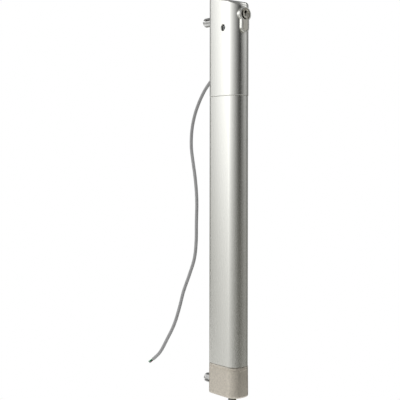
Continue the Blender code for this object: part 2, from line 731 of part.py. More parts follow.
# ---------------------------------------------------------------- manual release
def release_slider():
    """Pushed down by the cam's finger: a tab beside the lock's tail on an arm to the release rod."""
    front, rear = CAM_CENTRE_Y - TAB_HALF, CAM_CENTRE_Y + TAB_HALF
    side = [(front, TAB_TOP_Z), (front, 0.2400), (-0.0110, 0.2400), (-0.0110, 0.2450),
            (rear, 0.2450), (rear, TAB_TOP_Z)]
    slider = prism("release_slider", side, 0.0062, 0.0125, "zinc", "X")
    cut(slider, block_cut((0.0, front - 0.002, 0.2455), (0.0072, rear + 0.002, 0.28)))
    cut(slider, bore(0.0023, 0.2390, 0.2600, (RELEASE_X, RELEASE_Y, 0), segments=16))
    return slider


def release_rod():
    """The long rod from the slider down to the fork, with a collar for the return spring."""
    low, high = FORK_Z - 0.0020, 0.2450
    collar_low, collar_high = RELEASE_COLLAR_Z, RELEASE_COLLAR_Z + 0.0020
    profile = [(0, low), (0.0020, low), (0.0020, collar_low), (0.0042, collar_low),
               (0.0042, collar_high), (0.0020, collar_high), (0.0020, high), (0, high)]
    return turned("release_rod", profile, "steel", (RELEASE_X, RELEASE_Y, 0), "Z", 16)


def release_fork():
    """Two prongs round the clutch sleeve's groove, on a boss clamped to the release rod."""
    prongs = box_outline(-0.0105, 0.0105, DRIVE_Y - 0.0030, -0.0200, 0.0020)
    fork = prism("release_fork", prongs, FORK_Z, FORK_Z + FORK_THICK, "zinc")
    join(fork, prism("bridge", box_outline(0.0040, 0.0130, -0.0260, -0.0110, 0.0020),
                     FORK_Z, FORK_Z + FORK_THICK, "zinc"))
    join(fork, bore(0.0040, FORK_Z, FORK_Z + 0.0060, (RELEASE_X, RELEASE_Y, 0)))
    cut(fork, prism("throat", box_outline(-0.0068, 0.0068, DRIVE_Y - 0.02, DRIVE_Y),
                    FORK_Z - 0.01, FORK_Z + 0.01, "zinc"))
    cut(fork, bore(0.0068, FORK_Z - 0.01, FORK_Z + 0.01, (0, DRIVE_Y, 0)))
    cut(fork, bore(0.0023, FORK_Z - 0.01, FORK_Z + 0.01, (RELEASE_X, RELEASE_Y, 0), segments=16))
    return fork


def release_spring():
    """The compression spring between the bulkhead's web and the release rod's collar."""
    turns, per_turn, radius, wire = 5, 8, 0.0030, 0.0004
    low, high = WEB_TOP_Z + GAP + wire, RELEASE_COLLAR_Z - GAP - wire
    count = turns * per_turn
    coil = []
    for i in range(count + 1):
        angle = math.tau * i / per_turn
        coil.append((RELEASE_X + radius * math.cos(angle), RELEASE_Y + radius * math.sin(angle),
                     low + (high - low) * i / count))
    return tube_along("release_spring", coil, wire, 1, "steel")


def clutch_sleeve():
    """Slides on the screw's hexagon: a slot across its top takes the planet carrier's tongue."""
    sleeve = turned("clutch_sleeve", [
        (0, CLUTCH_BOTTOM_Z), (CLUTCH_RADIUS, CLUTCH_BOTTOM_Z), (CLUTCH_RADIUS, FORK_Z - GAP),
        (0.0065, FORK_Z - GAP), (0.0065, FORK_Z + FORK_THICK + GAP),
        (CLUTCH_RADIUS, FORK_Z + FORK_THICK + GAP), (CLUTCH_RADIUS, CLUTCH_TOP_Z), (0, CLUTCH_TOP_Z),
    ], "steel", (0, DRIVE_Y, 0), "Z", 24)
    cut(sleeve, block_cut((-0.02, DRIVE_Y - 0.0028, CLUTCH_TOP_Z - 0.0035),
                          (0.02, DRIVE_Y + 0.0028, 0.04)))
    hexagon = circle_outline(0, DRIVE_Y, HEX_RADIUS + 0.0004, 6)
    cut(sleeve, prism("hexagon", hexagon, 0.0, 0.04, "steel"))
    return sleeve


# ---------------------------------------------------------------- motor and gears
def motor_can():
    can = turned("motor_can", rod_profile(0.0138, MOTOR_BOTTOM_Z, MOTOR_TOP_Z, 0.0010), "zinc",
                 (0, DRIVE_Y, 0), "Z", 24)
    cut(can, bore(0.0020, MOTOR_BOTTOM_Z - 0.01, MOTOR_BOTTOM_Z + 0.0070, (0, DRIVE_Y, 0),
                  segments=16))
    return can


def motor_end_cap():
    """The brush cover on top of the motor, with its two terminals."""
    low = MOTOR_TOP_Z + GAP
    cap = turned("motor_end_cap", rod_profile(0.0125, low, low + 0.0050, 0.0006), "black_pvc",
                 (0, DRIVE_Y, 0), "Z", 20)
    for x in (-0.0060, 0.0060):
        join(cap, box("terminal", (x - 0.0012, DRIVE_Y - 0.0003, low + 0.0040),
                      (x + 0.0012, DRIVE_Y + 0.0003, low + 0.0085), "brass"))
    return cap


def sun_gear():
    """The motor's shaft with its 12-tooth pinion."""
    outline = gear_outline(SUN_TEETH, gear_radii(SUN_TEETH), TOOTH_SHARE, 0)
    gear = prism("sun_gear", [(x, y + DRIVE_Y) for x, y in outline], GEAR_LOW_Z, GEAR_HIGH_Z,
                 "steel")
    join(gear, bore(0.0016, GEAR_HIGH_Z - 0.001, MOTOR_BOTTOM_Z + 0.0060, (0, DRIVE_Y, 0),
                    segments=16))
    return gear


def gear_radii(teeth):
    """Root, pitch and tip radius of a short-toothed gear."""
    return [GEAR_MODULE * (teeth / 2 + rise) for rise in (-1.05, 0, 0.80)]


def planet_place(index):
    angle = math.tau * index / PLANET_COUNT
    return PLANET_ORBIT * math.cos(angle), DRIVE_Y + PLANET_ORBIT * math.sin(angle), angle


def planet_gear(index):
    """One planet. It has a gap between teeth where it meets the sun and the ring."""
    cx, cy, angle = planet_place(index)
    phase = angle + math.pi / PLANET_TEETH
    outline = gear_outline(PLANET_TEETH, gear_radii(PLANET_TEETH), TOOTH_SHARE, phase)
    gear = prism(f"planet_gear_{index + 1}", [(x + cx, y + cy) for x, y in outline],
                 GEAR_LOW_Z, GEAR_HIGH_Z, "brass")
    cut(gear, bore(PIN_RADIUS + 0.0001, 0.0, 0.1, (cx, cy, 0), segments=12))
    return gear


def ring_gear():
    """The gearbox housing: a steel ring with 36 teeth on its inside."""
    low, high = RING_BOTTOM_Z, MOTOR_BOTTOM_Z - GAP
    ring = turned("ring_gear", rod_profile(0.0140, low, high), "steel", (0, DRIVE_Y, 0), "Z", 36)
    radii = [GEAR_MODULE * (RING_TEETH / 2 + rise) for rise in (-0.80, 1.05)]
    space = gear_outline(RING_TEETH, radii, 2 - TOOTH_SHARE, math.pi / RING_TEETH)
    cut(ring, prism("teeth", [(x, y + DRIVE_Y) for x, y in space], low - 0.01, high + 0.01, "steel"))
    return ring


def planet_carrier():
    """Carries the planets on three pins; its tongue drives the clutch sleeve below."""
    plate_low, plate_high = RING_BOTTOM_Z + 0.0006, GEAR_LOW_Z - 0.0004
    carrier = turned("planet_carrier", [
        (0, 0.0284), (0.0093, 0.0284), (0.0093, 0.0318), (0.0070, 0.0318), (0.0070, plate_low),
        (0.0098, plate_low), (0.0098, plate_high), (0, plate_high),
    ], "steel", (0, DRIVE_Y, 0), "Z", 20)
    join(carrier, box("tongue", (-0.0088, DRIVE_Y - 0.0024, 0.0250),
                      (0.0088, DRIVE_Y + 0.0024, 0.0290), "steel"))
    for index in range(PLANET_COUNT):
        cx, cy, _ = planet_place(index)
        join(carrier, bore(PIN_RADIUS, plate_high - 0.001, GEAR_HIGH_Z + 0.0006, (cx, cy, 0),
                           segments=10))
    return carrier


def cross_plate(name, low, high, finish_name):
    """A plate that fills the tube's inside, held by one screw from the rear."""
    plate = prism(name, section(inset=TUBE_WALL + GAP, steps=5), low, high, finish_name)
    middle = (low + high) / 2
    cut(plate, bore(SCREW_HOLE_RADIUS, -0.012, 0.002, (0, 0, middle), "Y", 16))
    return plate


def gearbox_plate():
    plate = cross_plate("gearbox_plate", 0.0330, 0.0376, "zinc")
    cut(plate, bore(0.0095, 0.0, 0.1, (0, DRIVE_Y, 0), segments=24),
        bore(0.0024, 0.0, 0.1, (RELEASE_X, RELEASE_Y, 0), segments=16))
    return plate


def bearing_plate():
    plate = cross_plate("bearing_plate", -0.0130, -0.0050, "zinc")
    cut(plate, bore(0.0098, -0.1, 0.1, (0, DRIVE_Y, 0), segments=24))
    return plate


# ---------------------------------------------------------------- screw, carriage and rod
def lead_screw():
    """The screw: hexagon for the clutch, thrust collar, journal and the long threaded stretch."""
    screw = turned("lead_screw", [
        (0, SCREW_BOTTOM_Z), (0.0034, SCREW_BOTTOM_Z), (SCREW_RADIUS, SCREW_BOTTOM_Z + 0.0008),
        (SCREW_RADIUS, -0.0047), (0.0070, -0.0047), (0.0070, -0.0022), (0, -0.0022),
    ], "steel", (0, DRIVE_Y, 0), "Z", 24)
    hexagon = circle_outline(0, DRIVE_Y, HEX_RADIUS, 6)
    join(screw, prism("hexagon", hexagon, -0.0030, 0.0243, "steel"))
    return screw


def rod_nut():
    return turned("rod_nut", [
        (0.0043, -0.0377), (0.0070, -0.0377), (0.0070, NUT_TOP_Z - 0.0030),
        (0.0100, NUT_TOP_Z - 0.0030), (0.0100, NUT_TOP_Z), (0.0043, NUT_TOP_Z),
    ], "brass", (0, DRIVE_Y, 0), "Z", 20)


def carriage():
    """The sliding block that keeps the nut and the rod from turning inside the tube."""
    outline = [(x, y) for x, y, _, _ in section(inset=TUBE_WALL + 0.0006, steps=5)]
    block = prism("carriage", outline, CARRIAGE_BOTTOM_Z, CARRIAGE_TOP_Z, "white_nylon")
    cut(block, block_cut((-0.02, -0.0090, -0.1), (0.02, 0.0, 0.1)))
    axis = (0, DRIVE_Y, 0)
    cut(block, stepped_bore([(0.0063, -0.1, -0.0380), (0.0073, -0.0380, 0.0)], axis))
    cut(block, bore(0.0028, -0.013, 0.0, (0, 0, MAGNET_Z), "Y", 16))
    return block


def position_magnet():
    return turned("position_magnet", rod_profile(0.0025, -0.0127, -0.0085), "dark_steel",
                  (0, 0, MAGNET_Z), "Y", 16)


def rod():
    """The bolt itself: a bar with a blind bore that the screw runs into, chamfered at the tip."""
    top = -0.0383
    bar = turned("rod", [
        (0, ROD_TIP_Z), (ROD_RADIUS - 0.0014, ROD_TIP_Z), (ROD_RADIUS, ROD_TIP_Z + 0.0014),
        (ROD_RADIUS, top - 0.0004), (ROD_RADIUS - 0.0004, top), (0.0044, top), (0.0044, -0.1450),
        (0, -0.1460),
    ], "dark_steel", (0, DRIVE_Y, 0), "Z", 40)
    return bar


def sensor_board():
    """The narrow board along the tube's rear wall that carries the two end sensors."""
    return box("sensor_board", (-0.0050, -0.0042, -0.1340), (0.0050, -0.0026, -0.0150),
               "green_board")


# ---------------------------------------------------------------- cable
def smooth_route(points, step):
    """A smooth curve through the route's points, read every step metres."""
    points = [Vector(p) for p in points]
    tangents = [
        (points[min(i + 1, len(points) - 1)] - points[max(i - 1, 0)]) / 2 for i in range(len(points))
    ]
    fine = []
    for i in range(len(points) - 1):
        fine += interpolate_bezier(points[i], points[i] + tangents[i] / 3,
                                   points[i + 1] - tangents[i + 1] / 3, points[i + 1], 25)[:-1]
    fine.append(points[-1])
    lengths = [0.0]
    for a, b in zip(fine, fine[1:]):
        lengths.append(lengths[-1] + (b - a).length)
    count = round(lengths[-1] / step)
    route, at = [], 0
    for i in range(count + 1):
        wanted = lengths[-1] * i / count
        while at < len(lengths) - 2 and lengths[at + 1] < wanted:
            at += 1
        span = lengths[at + 1] - lengths[at]
        route.append(fine[at].lerp(fine[at + 1], (wanted - lengths[at]) / span))
    return route


def cable():
    """The hanging supply cable, one free length from the grommet to its bare end."""
    return tube_along("cable", smooth_route(CABLE_ROUTE, CABLE_STEP), CABLE_RADIUS, 3, "grey_pvc")


def cable_grommet():
    """A rubber grommet in the rear wall whose nose points the cable downwards."""
    grommet = turned("cable_grommet", [
        (0, -0.0040), (0.0052, -0.0040), (0.0052, -0.0028), (0.0040, -0.0028), (0.0040, GAP),
        (0.0058, GAP), (0.0058, 0.0014), (0.0050, 0.0022), (0, 0.0022),
    ], "black_rubber", (0, 0, GROMMET_Z), "Y", 20)
    end = Vector(CABLE_ROUTE[0])
    outward = (Vector(CABLE_ROUTE[1]) - end).normalized()
    nose_end = end - outward * GAP
    nose_start = Vector((0, 0.0008, GROMMET_Z))
    axis = (nose_end - nose_start).normalized()
    rings = []
    for centre, normal, radius in (
        (nose_start, axis, 0.0042),
        (nose_start.lerp(nose_end, 0.5), axis, 0.0039),
        (nose_end, outward, 0.0034),
    ):
        side = normal.cross(Vector((1, 0, 0))).normalized()
        other = normal.cross(side)
        rings.append([
            centre + radius * (side * math.cos(math.tau * i / NOSE_SIDES)
                               + other * math.sin(math.tau * i / NOSE_SIDES))
            for i in range(NOSE_SIDES)
        ])
    join(grommet, loft("nose", rings, "black_rubber"))
    return grommet


def lead(name, points, finish_name):
    """A short insulated wire from the circuit board to the motor."""
    return tube_along(name, smooth_route(points, 0.003), 0.0007, 2, finish_name)


# ---------------------------------------------------------------- assembly
def build_housing():
    head_cover()
    tube()
    bottom_cap()
    bulkhead()
    for side, x in zip(("left", "right"), SCREW_X):
        rear_screw(f"head_screw_{side}", x, HEAD_SCREW_Z, 0.0085)
        rear_screw(f"cap_screw_{side}", x, CAP_SCREW_Z, 0.0060)
    rear_screw("tube_screw", 0, TUBE_SCREW_Z, 0.0085)
    rear_screw("gearbox_screw", 0, GEAR_PLATE_Z, 0.0110)
    rear_screw("bearing_screw", 0, BEARING_PLATE_Z, 0.0110)
    top_fixing_block()
    fixing("top", FIXING_HEIGHT, TOP_FIXING_TIP_Y, math.radians(-70))
    fixing("bottom", -FIXING_HEIGHT, BOTTOM_FIXING_TIP_Y, math.radians(-110))
    turned("rod_guide_bush", ring_profile(0.0062, 0.0110, -0.2617, -0.2430), "bronze",
           (0, DRIVE_Y, 0), "Z", 24)
    low, high = CAP_BOTTOM_Z, CAP_BOTTOM_Z + 0.0065
    wiper = [(0.0062, low), (0.0085, low), (0.0090, low + 0.0006), (0.0090, high), (0.0062, high)]
    turned("rod_wiper", wiper, "black_rubber", (0, DRIVE_Y, 0), "Z", 24)


def build_electronics():
    chassis()
    circuit_board()
    terminal_block()
    board_part("relay", (-0.0120, 0.1960), (0.0020, 0.2110, 0.0120), "white_nylon")
    capacitor()
    sensor_board()
    for name, z in (("end_sensor_upper", MAGNET_Z), ("end_sensor_lower", MAGNET_Z - STROKE)):
        box(name, (-0.0020, -0.0061, z - 0.0015), (0.0020, -0.0045, z + 0.0015), "black_pvc")
    cable()
    cable_grommet()
    lead("motor_lead_red", RED_LEAD_ROUTE, "red_pvc")
    lead("motor_lead_black", BLACK_LEAD_ROUTE, "black_pvc")


def build_lock():
    lock_body()
    lock_screw()
    lock_carrier()
    key_axis = pivot("key_axis", (0, CAM_CENTRE_Y, LOCK_AXIS_Z))
    hang_on(key_axis, lock_plug(), lock_cam())
    release_axis = pivot("release_axis", (RELEASE_X, RELEASE_Y, 0))
    hang_on(release_axis, release_slider(), release_rod(), release_fork())
    release_spring()


def build_drive():
    motor_can()
    motor_end_cap()
    ring_gear()
    gearbox_plate()
    turned("carrier_bush", ring_profile(0.0072, 0.0092, 0.0330, 0.0376), "bronze",
           (0, DRIVE_Y, 0), "Z", 24)
    bearing_plate()
    turned("thrust_bearing", ring_profile(0.0044, 0.0095, -0.0127, -0.0053), "steel",
           (0, DRIVE_Y, 0), "Z", 24)
    drive_axis = (0, DRIVE_Y, 0)
    hang_on(pivot("sun_axis", drive_axis), sun_gear())
    carrier_axis = pivot("carrier_axis", drive_axis)
    hang_on(carrier_axis, planet_carrier())
    for index in range(PLANET_COUNT):
        cx, cy, _ = planet_place(index)
        hang_on(pivot(f"planet_axis_{index + 1}", (cx, cy, 0), carrier_axis), planet_gear(index))
    screw_axis = pivot("screw_axis", drive_axis)
    retaining_ring = turned("screw_retaining_ring", ring_profile(0.0043, 0.0070, -0.0155, -0.0133),
                            "dark_steel", (0, DRIVE_Y, 0), "Z", 16)
    hang_on(screw_axis, lead_screw(), retaining_ring)
    hang_on(pivot("clutch_axis", drive_axis, screw_axis), clutch_sleeve())
    rod_axis = pivot("rod_axis", drive_axis)
    hang_on(rod_axis, rod(), rod_nut(), carriage(), position_magnet())


def main():
    for obj in list(bpy.data.objects):
        bpy.data.objects.remove(obj, do_unlink=True)
    build_housing()
    build_electronics()
    build_lock()
    build_drive()


main()
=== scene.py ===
"""Looks of the electric drop bolt: a slim anodised housing with a Euro-profile half cylinder, a
sand-cast foot that a steel bolt slides out of, rear fixings and a hanging cable. Metres, +Z up."""

import json
import math

import bmesh
import bpy
from mathutils import Matrix, Vector, noise


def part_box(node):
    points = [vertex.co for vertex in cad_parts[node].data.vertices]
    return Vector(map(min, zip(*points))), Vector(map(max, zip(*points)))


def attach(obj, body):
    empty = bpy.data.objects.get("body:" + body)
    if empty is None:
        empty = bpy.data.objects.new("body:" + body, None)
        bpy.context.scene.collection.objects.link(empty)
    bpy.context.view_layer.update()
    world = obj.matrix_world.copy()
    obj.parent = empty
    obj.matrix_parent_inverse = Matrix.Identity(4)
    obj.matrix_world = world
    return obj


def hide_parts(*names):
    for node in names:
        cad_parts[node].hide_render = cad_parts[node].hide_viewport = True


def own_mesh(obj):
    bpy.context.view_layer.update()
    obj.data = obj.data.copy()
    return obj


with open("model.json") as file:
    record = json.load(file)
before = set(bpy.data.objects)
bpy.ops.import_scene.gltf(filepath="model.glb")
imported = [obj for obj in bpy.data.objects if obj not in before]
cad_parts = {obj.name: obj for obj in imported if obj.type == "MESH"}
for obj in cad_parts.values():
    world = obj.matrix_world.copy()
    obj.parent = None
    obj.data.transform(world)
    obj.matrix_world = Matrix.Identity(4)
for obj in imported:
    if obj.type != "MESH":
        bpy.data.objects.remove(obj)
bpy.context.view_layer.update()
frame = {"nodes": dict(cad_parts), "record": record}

# ---------------------------------------------------------------- sizes, from the frame
TUBE_LOW, TUBE_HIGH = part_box("tube")
HEAD_LOW, HEAD_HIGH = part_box("head_cover")
CAP_LOW, CAP_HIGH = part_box("bottom_cap")
LOCK_LOW, LOCK_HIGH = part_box("lock_body")
PLUG_LOW, PLUG_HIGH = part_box("lock_plug")
ROD_LOW, ROD_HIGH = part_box("rod")

BODY_HALF = TUBE_HIGH.x
BODY_FRONT = TUBE_LOW.y
CASTING_STEP = HEAD_HIGH.x - BODY_HALF
FRONT_RADIUS = 0.013
REAR_RADIUS = 0.008
TUBE_WALL = 0.002
HEAD_WALL = 0.0024
SIDE_CROWN = 0.0008  # how much the sides and the front bulge between their corners
FRONT_CROWN = 0.0028
GAP = 0.0003
SQUARE = [(-1, -1), (1, -1), (1, 1), (-1, 1)]
HEAD_SCREWS = ("head_screw_left", "head_screw_right")
CAP_SCREWS = ("cap_screw_left", "cap_screw_right")
TUBE_SCREWS = CAP_SCREWS + ("tube_screw", "gearbox_screw", "bearing_screw")

ROOF_REAR_Z = 0.3011
ROOF_SLOPE = 0.22
ROOF_SIDE_RADIUS = 0.0032
ROOF_FRONT_RADIUS = 0.0062

DRIVE_Y = (ROD_LOW.y + ROD_HIGH.y) / 2
LOCK_AXIS_Z = (PLUG_LOW.z + PLUG_HIGH.z) / 2
LOCK_HEAD_RADIUS = LOCK_HIGH.x
LOCK_TAIL_HALF = 0.005
MOUTH_RADIUS = 0.0079
BOSS_RADIUS = 0.0061
PLUG_RADIUS = 0.0064
PLUG_BORE_RADIUS = 0.0067
PLUG_PIN_RADIUS = 0.0040
COLLAR_FRONT_Y = HEAD_LOW.y
COLLAR_ROOT_Y = -0.0578
COLLAR_WALL = 0.0020
COLLAR_SPREAD = 1.08  # the rim is this much wider than it is tall
CAM_CENTRE_Y = LOCK_LOW.y + 0.0283
LOCK_SCREW_Z = sum(c.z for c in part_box("lock_screw")) / 2
LOCK_CAM_HALF = 0.005
ACCESS_HOLE_RADIUS = 0.005
FIXING_Z = sum(c.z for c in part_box("top_fixing_stud")) / 2
FIXING_HOLE_RADIUS = 0.0043
SLEEVE_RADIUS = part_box("top_fixing_sleeve")[1].x
REAR_SCREW_RADIUS = 0.0019
SCREW_BORE_RADIUS = 0.0044
SCREW_BORE_END_Z = -0.1450
FOOT_EDGE = 0.0024
FOOT_OUTSET = 0.0003  # how far the foot's walls lean out at its lower edge
SKIN_DENT = 0.00009  # the depth of the cast skin's unevenness, and its grains to the metre
SKIN_GRAIN = 480
GROMMET_Z = 0.1860
SPRING_WIRE = 0.0004

# ---------------------------------------------------------------- camera and studio
CAMERA_PLACE = (-0.8546, -0.9810, 0.0557)
CAMERA_HEADING = 40  # degrees from +Y towards +X
CAMERA_ROLL = -0.09
CAMERA_SENSOR = 36  # mm
CAMERA_LENS = 78.4
CAMERA_SHIFT = (-0.0004, -0.0925)

# The studio's walls by heading in degrees, counted from +X towards +Y; its floor and ceiling by
# the sine of the elevation; and its softboxes: heading, elevation, inner and outer angle, tone.
WALL_TONES = [(-180, 1.26), (-156, 0.88), (-128, 0.39), (-104, 0.11), (-84, 0.03), (-60, 0.03),
              (-53, 0.06), (-47, 0.30), (-40, 0.56), (-34, 0.46), (-26, 0.24), (-14, 0.18),
              (8, 0.26), (28, 0.34), (45, 0.34), (75, 0.36), (100, 0.30), (118, 0.24), (127, 0.40),
              (134, 1.95), (146, 1.70), (158, 1.55), (180, 1.26)]
FLOOR_SHARES = [(-0.45, 0.90), (-0.20, 0.70), (-0.10, 0.59), (-0.02, 0.33), (0.05, 0.07),
                (0.10, 0.0)]
FLOOR_TONE = (0.215, 0.21, 0.187)
CEILING_SHARES = [(0.26, 0.0), (0.55, 1.0)]
CEILING_TONE = (0.22, 0.22, 0.22)
SKYLIGHT_RISE = (0.30, 0.80)  # only matt surfaces get this light from the ceiling
SKYLIGHT_TONE = (1.10, 1.10, 1.10)
SOFTBOXES = [(-8, 44, 3, 10, 2.6), (-40, 21, 3, 15, 1.25), (108, -34, 10, 28, 1.4),
             (113, 30, 8, 22, 1.5)]
FLOOR_Z = -0.60
FLOOR_RADIUS = 0.95

# ---------------------------------------------------------------- finishes
NOISE_RANGE = (0.3, 0.7)  # where nearly all of a noise's values lie
FLOOR_FINISH = {"colour": (0.90, 0.90, 0.89), "roughness": 0.9}
FINISHES = {
    "anodised": {
        "colour": (0.86, 0.86, 0.82), "roughness": 0.27, "metallic": 1.0, "grain": 1500,
        "stretch": (1, 1, 0.02), "spread": 0.008, "rough_spread": 0.006, "bump": 0.0000005,
        "bump_grain": 9000},
    "casting": {
        "colour": (0.70, 0.65, 0.57), "roughness": 0.38, "metallic": 0.90, "grain": 420,
        "spread": 0.12, "rough_spread": 0.08, "bump": 0.00008, "bump_grain": 1100},
    "nickel": {
        "colour": (0.88, 0.86, 0.78), "roughness": 0.42, "metallic": 1.0, "grain": 900,
        "spread": 0.08, "bump": 0.00003, "bump_grain": 1300},
    "steel": {
        "colour": (0.52, 0.52, 0.51), "roughness": 0.27, "metallic": 1.0, "grain": 1200,
        "stretch": (1, 8, 1), "rough_spread": 0.05, "bump": 0.00001, "bump_grain": 2500},
    "dark_steel": {
        "colour": (0.20, 0.195, 0.18), "roughness": 0.30, "metallic": 1.0, "grain": 1500,
        "stretch": (1, 1, 0.05), "spread": 0.08, "rough_spread": 0.05, "bump": 0.000006,
        "bump_grain": 5000},
    "zinc": {
        "colour": (0.70, 0.72, 0.74), "roughness": 0.32, "metallic": 1.0, "grain": 700,
        "spread": 0.07, "rough_spread": 0.07, "bump": 0.00001, "bump_grain": 2500},
    "brass": {"colour": (0.80, 0.60, 0.28), "roughness": 0.28, "metallic": 1.0, "grain": 800},
    "bronze": {
        "colour": (0.60, 0.40, 0.22), "roughness": 0.42, "metallic": 1.0, "grain": 1500,
        "spread": 0.10, "rough_spread": 0.08, "bump": 0.00002, "bump_grain": 4000},
    "black_rubber": {
        "colour": (0.03, 0.03, 0.03), "roughness": 0.62, "grain": 900, "spread": 0.15,
        "rough_spread": 0.08, "bump": 0.00004, "bump_grain": 3000},
    "grey_pvc": {
        "colour": (0.42, 0.42, 0.425), "roughness": 0.42, "grain": 500, "spread": 0.06,
        "rough_spread": 0.07, "bump": 0.00003, "bump_grain": 1500},
    "white_nylon": {
        "colour": (0.82, 0.80, 0.74), "roughness": 0.48, "grain": 300, "spread": 0.03},
    "green_board": {
        "colour": (0.03, 0.20, 0.08), "roughness": 0.35, "grain": 1400, "spread": 0.35,
        "rough_spread": 0.05, "bump": 0.00003, "bump_grain": 1400, "coat": 0.4},
    "green_plastic": {"colour": (0.05, 0.34, 0.12), "roughness": 0.40},
    "blue_plastic": {"colour": (0.05, 0.12, 0.42), "roughness": 0.30},
    "red_pvc": {"colour": (0.50, 0.03, 0.02), "roughness": 0.40},
    "black_pvc": {
        "colour": (0.025, 0.025, 0.025), "roughness": 0.42, "grain": 700, "spread": 0.1,
        "bump": 0.00001, "bump_grain": 2500},
}
# The colour of the painted shade in the keyway and in the groove round the plug.
PAINTED_SHADE_COLOUR = (0.012, 0.011, 0.008, 1)
# How deep behind the plug's face the painted shade in the groove and the keyway begins, and how far
# to the lower left the groove's painted shadow reaches.
GROOVE_DEPTHS = (0.0003, 0.0008)
KEYWAY_DEPTHS = (0.0022, 0.0028)
PAINTED_SHADOW_REACH = (0.0010, 0.0060)

# ---------------------------------------------------------------- cable
CABLE_STEP = 0.003
CORE_RADIUS = 0.00075
CORE_OFFSET = 0.00105  # from the cable's middle
CABLE_RADIUS = 0.0025
CABLE_STRIPPED = 0.010
CABLE_ROUTE = [
    (0.0000, 0.0082, 0.1817),
    (-0.0004, 0.0160, 0.1755),
    (-0.0012, 0.0275, 0.1632),
    (-0.0025, 0.0385, 0.1460),
    (-0.0040, 0.0465, 0.1270),
    (-0.0058, 0.0505, 0.1050),
    (-0.0080, 0.0490, 0.0800),
    (-0.0108, 0.0410, 0.0550),
    (-0.0138, 0.0320, 0.0290),
    (-0.0170, 0.0250, -0.0010),
    (-0.0205, 0.0215, -0.0320),
    (-0.0240, 0.0180, -0.0630),
    (-0.0275, 0.0180, -0.0870),
    (-0.0315, 0.0240, -0.1100),
    (-0.0365, 0.0320, -0.1360),
    (-0.0415, 0.0360, -0.1610),
    (-0.0465, 0.0420, -0.1860),
    (-0.0515, 0.0535, -0.2100),
    (-0.0555, 0.0660, -0.2310),
    (-0.0620, 0.0835, -0.2475),
]


# ---------------------------------------------------------------- shader nodes
def add_node(tree, kind, inputs=None, **settings):
    """A new shader node. Each input named is given its value, or linked to another's output."""
    node = tree.nodes.new("ShaderNode" + kind)
    for name, setting in settings.items():
        setattr(node, name, setting)
    for name, value in (inputs or {}).items():
        if isinstance(value, bpy.types.NodeSocket):
            tree.links.new(value, node.inputs[name])
        else:
            node.inputs[name].default_value = value
    return node


def map_range(tree, value, ends, to=(0.0, 1.0), kind="LINEAR"):
    inputs = {"Value": value, "From Min": ends[0], "From Max": ends[1], "To Min": to[0],
              "To Max": to[1]}
    return add_node(tree, "MapRange", inputs, interpolation_type=kind).outputs["Result"]


def maths(tree, operation, *values):
    return add_node(tree, "Math", dict(enumerate(values)), operation=operation).outputs["Value"]


def mix_colours(tree, share, first, second):
    inputs = {"Factor": share, "A": first, "B": second}
    return add_node(tree, "Mix", inputs, data_type="RGBA").outputs["Result"]


# ---------------------------------------------------------------- camera and light
def add_object(name, data):
    obj = bpy.data.objects.new(name, data)
    bpy.context.scene.collection.objects.link(obj)
    return obj


def add_camera():
    """A level camera, in front and to the left, at the photograph's distance."""
    camera = add_object("camera", bpy.data.cameras.new("camera"))
    camera.location = CAMERA_PLACE
    camera.rotation_euler = (math.pi / 2, math.radians(CAMERA_ROLL), -math.radians(CAMERA_HEADING))
    camera.data.sensor_width = CAMERA_SENSOR
    camera.data.lens = CAMERA_LENS
    camera.data.shift_x, camera.data.shift_y = CAMERA_SHIFT
    camera.data.clip_start = 0.01
    bpy.context.scene.camera = camera


def studio_world():
    """A white studio: bright behind and to the left of the object, dim in front of it, with a
    grey floor and ceiling, softboxes, and a brighter ceiling for matt surfaces. The camera sees
    plain white."""
    world = bpy.data.worlds.new("studio")
    bpy.context.scene.world = world
    world.use_nodes = True
    tree = world.node_tree
    tree.nodes.clear()
    direction = add_node(tree, "TexCoord").outputs["Generated"]
    parts = add_node(tree, "SeparateXYZ", {"Vector": direction}).outputs
    rays = add_node(tree, "LightPath").outputs

    def ramp(value, stops):
        node = add_node(tree, "ValToRGB", {"Fac": value})
        elements = node.color_ramp.elements
        while len(elements) < len(stops):
            elements.new(0.5)
        for element, (at, tone) in zip(elements, stops):
            element.position = at
            element.color = (tone, tone, tone, 1)
        return node.outputs["Color"]

    turn = map_range(tree, maths(tree, "ARCTAN2", parts["Y"], parts["X"]), (-math.pi, math.pi))
    seen = ramp(turn, [((at + 180) / 360, tone) for at, tone in WALL_TONES])
    level = map_range(tree, parts["Z"], (-1, 1))
    for stops, tone in ((FLOOR_SHARES, FLOOR_TONE), (CEILING_SHARES, CEILING_TONE)):
        share = ramp(level, [((at + 1) / 2, share) for at, share in stops])
        seen = mix_colours(tree, share, seen, (*tone, 1))
    rise = map_range(tree, parts["Z"], SKYLIGHT_RISE)
    share = maths(tree, "MULTIPLY", rays["Is Diffuse Ray"], rise)
    seen = mix_colours(tree, share, seen, (*SKYLIGHT_TONE, 1))
    for azimuth, elevation, inner, outer, tone in SOFTBOXES:
        flat = math.cos(math.radians(elevation))
        aim = (flat * math.cos(math.radians(azimuth)), flat * math.sin(math.radians(azimuth)),
               math.sin(math.radians(elevation)))
        nearness = add_node(tree, "VectorMath", {0: direction, 1: aim}, operation="DOT_PRODUCT")
        ends = math.cos(math.radians(outer)), math.cos(math.radians(inner))
        share = map_range(tree, nearness.outputs["Value"], ends, kind="SMOOTHSTEP")
        seen = mix_colours(tree, share, seen, (tone, tone, tone, 1))

    studio = add_node(tree, "Background", {"Color": seen}).outputs["Background"]
    white = add_node(tree, "Background", {"Color": (1, 1, 1, 1)}).outputs["Background"]
    choice = add_node(tree, "MixShader", {"Fac": rays["Is Camera Ray"], 1: studio, 2: white})
    add_node(tree, "OutputWorld", {"Surface": choice.outputs["Shader"]})


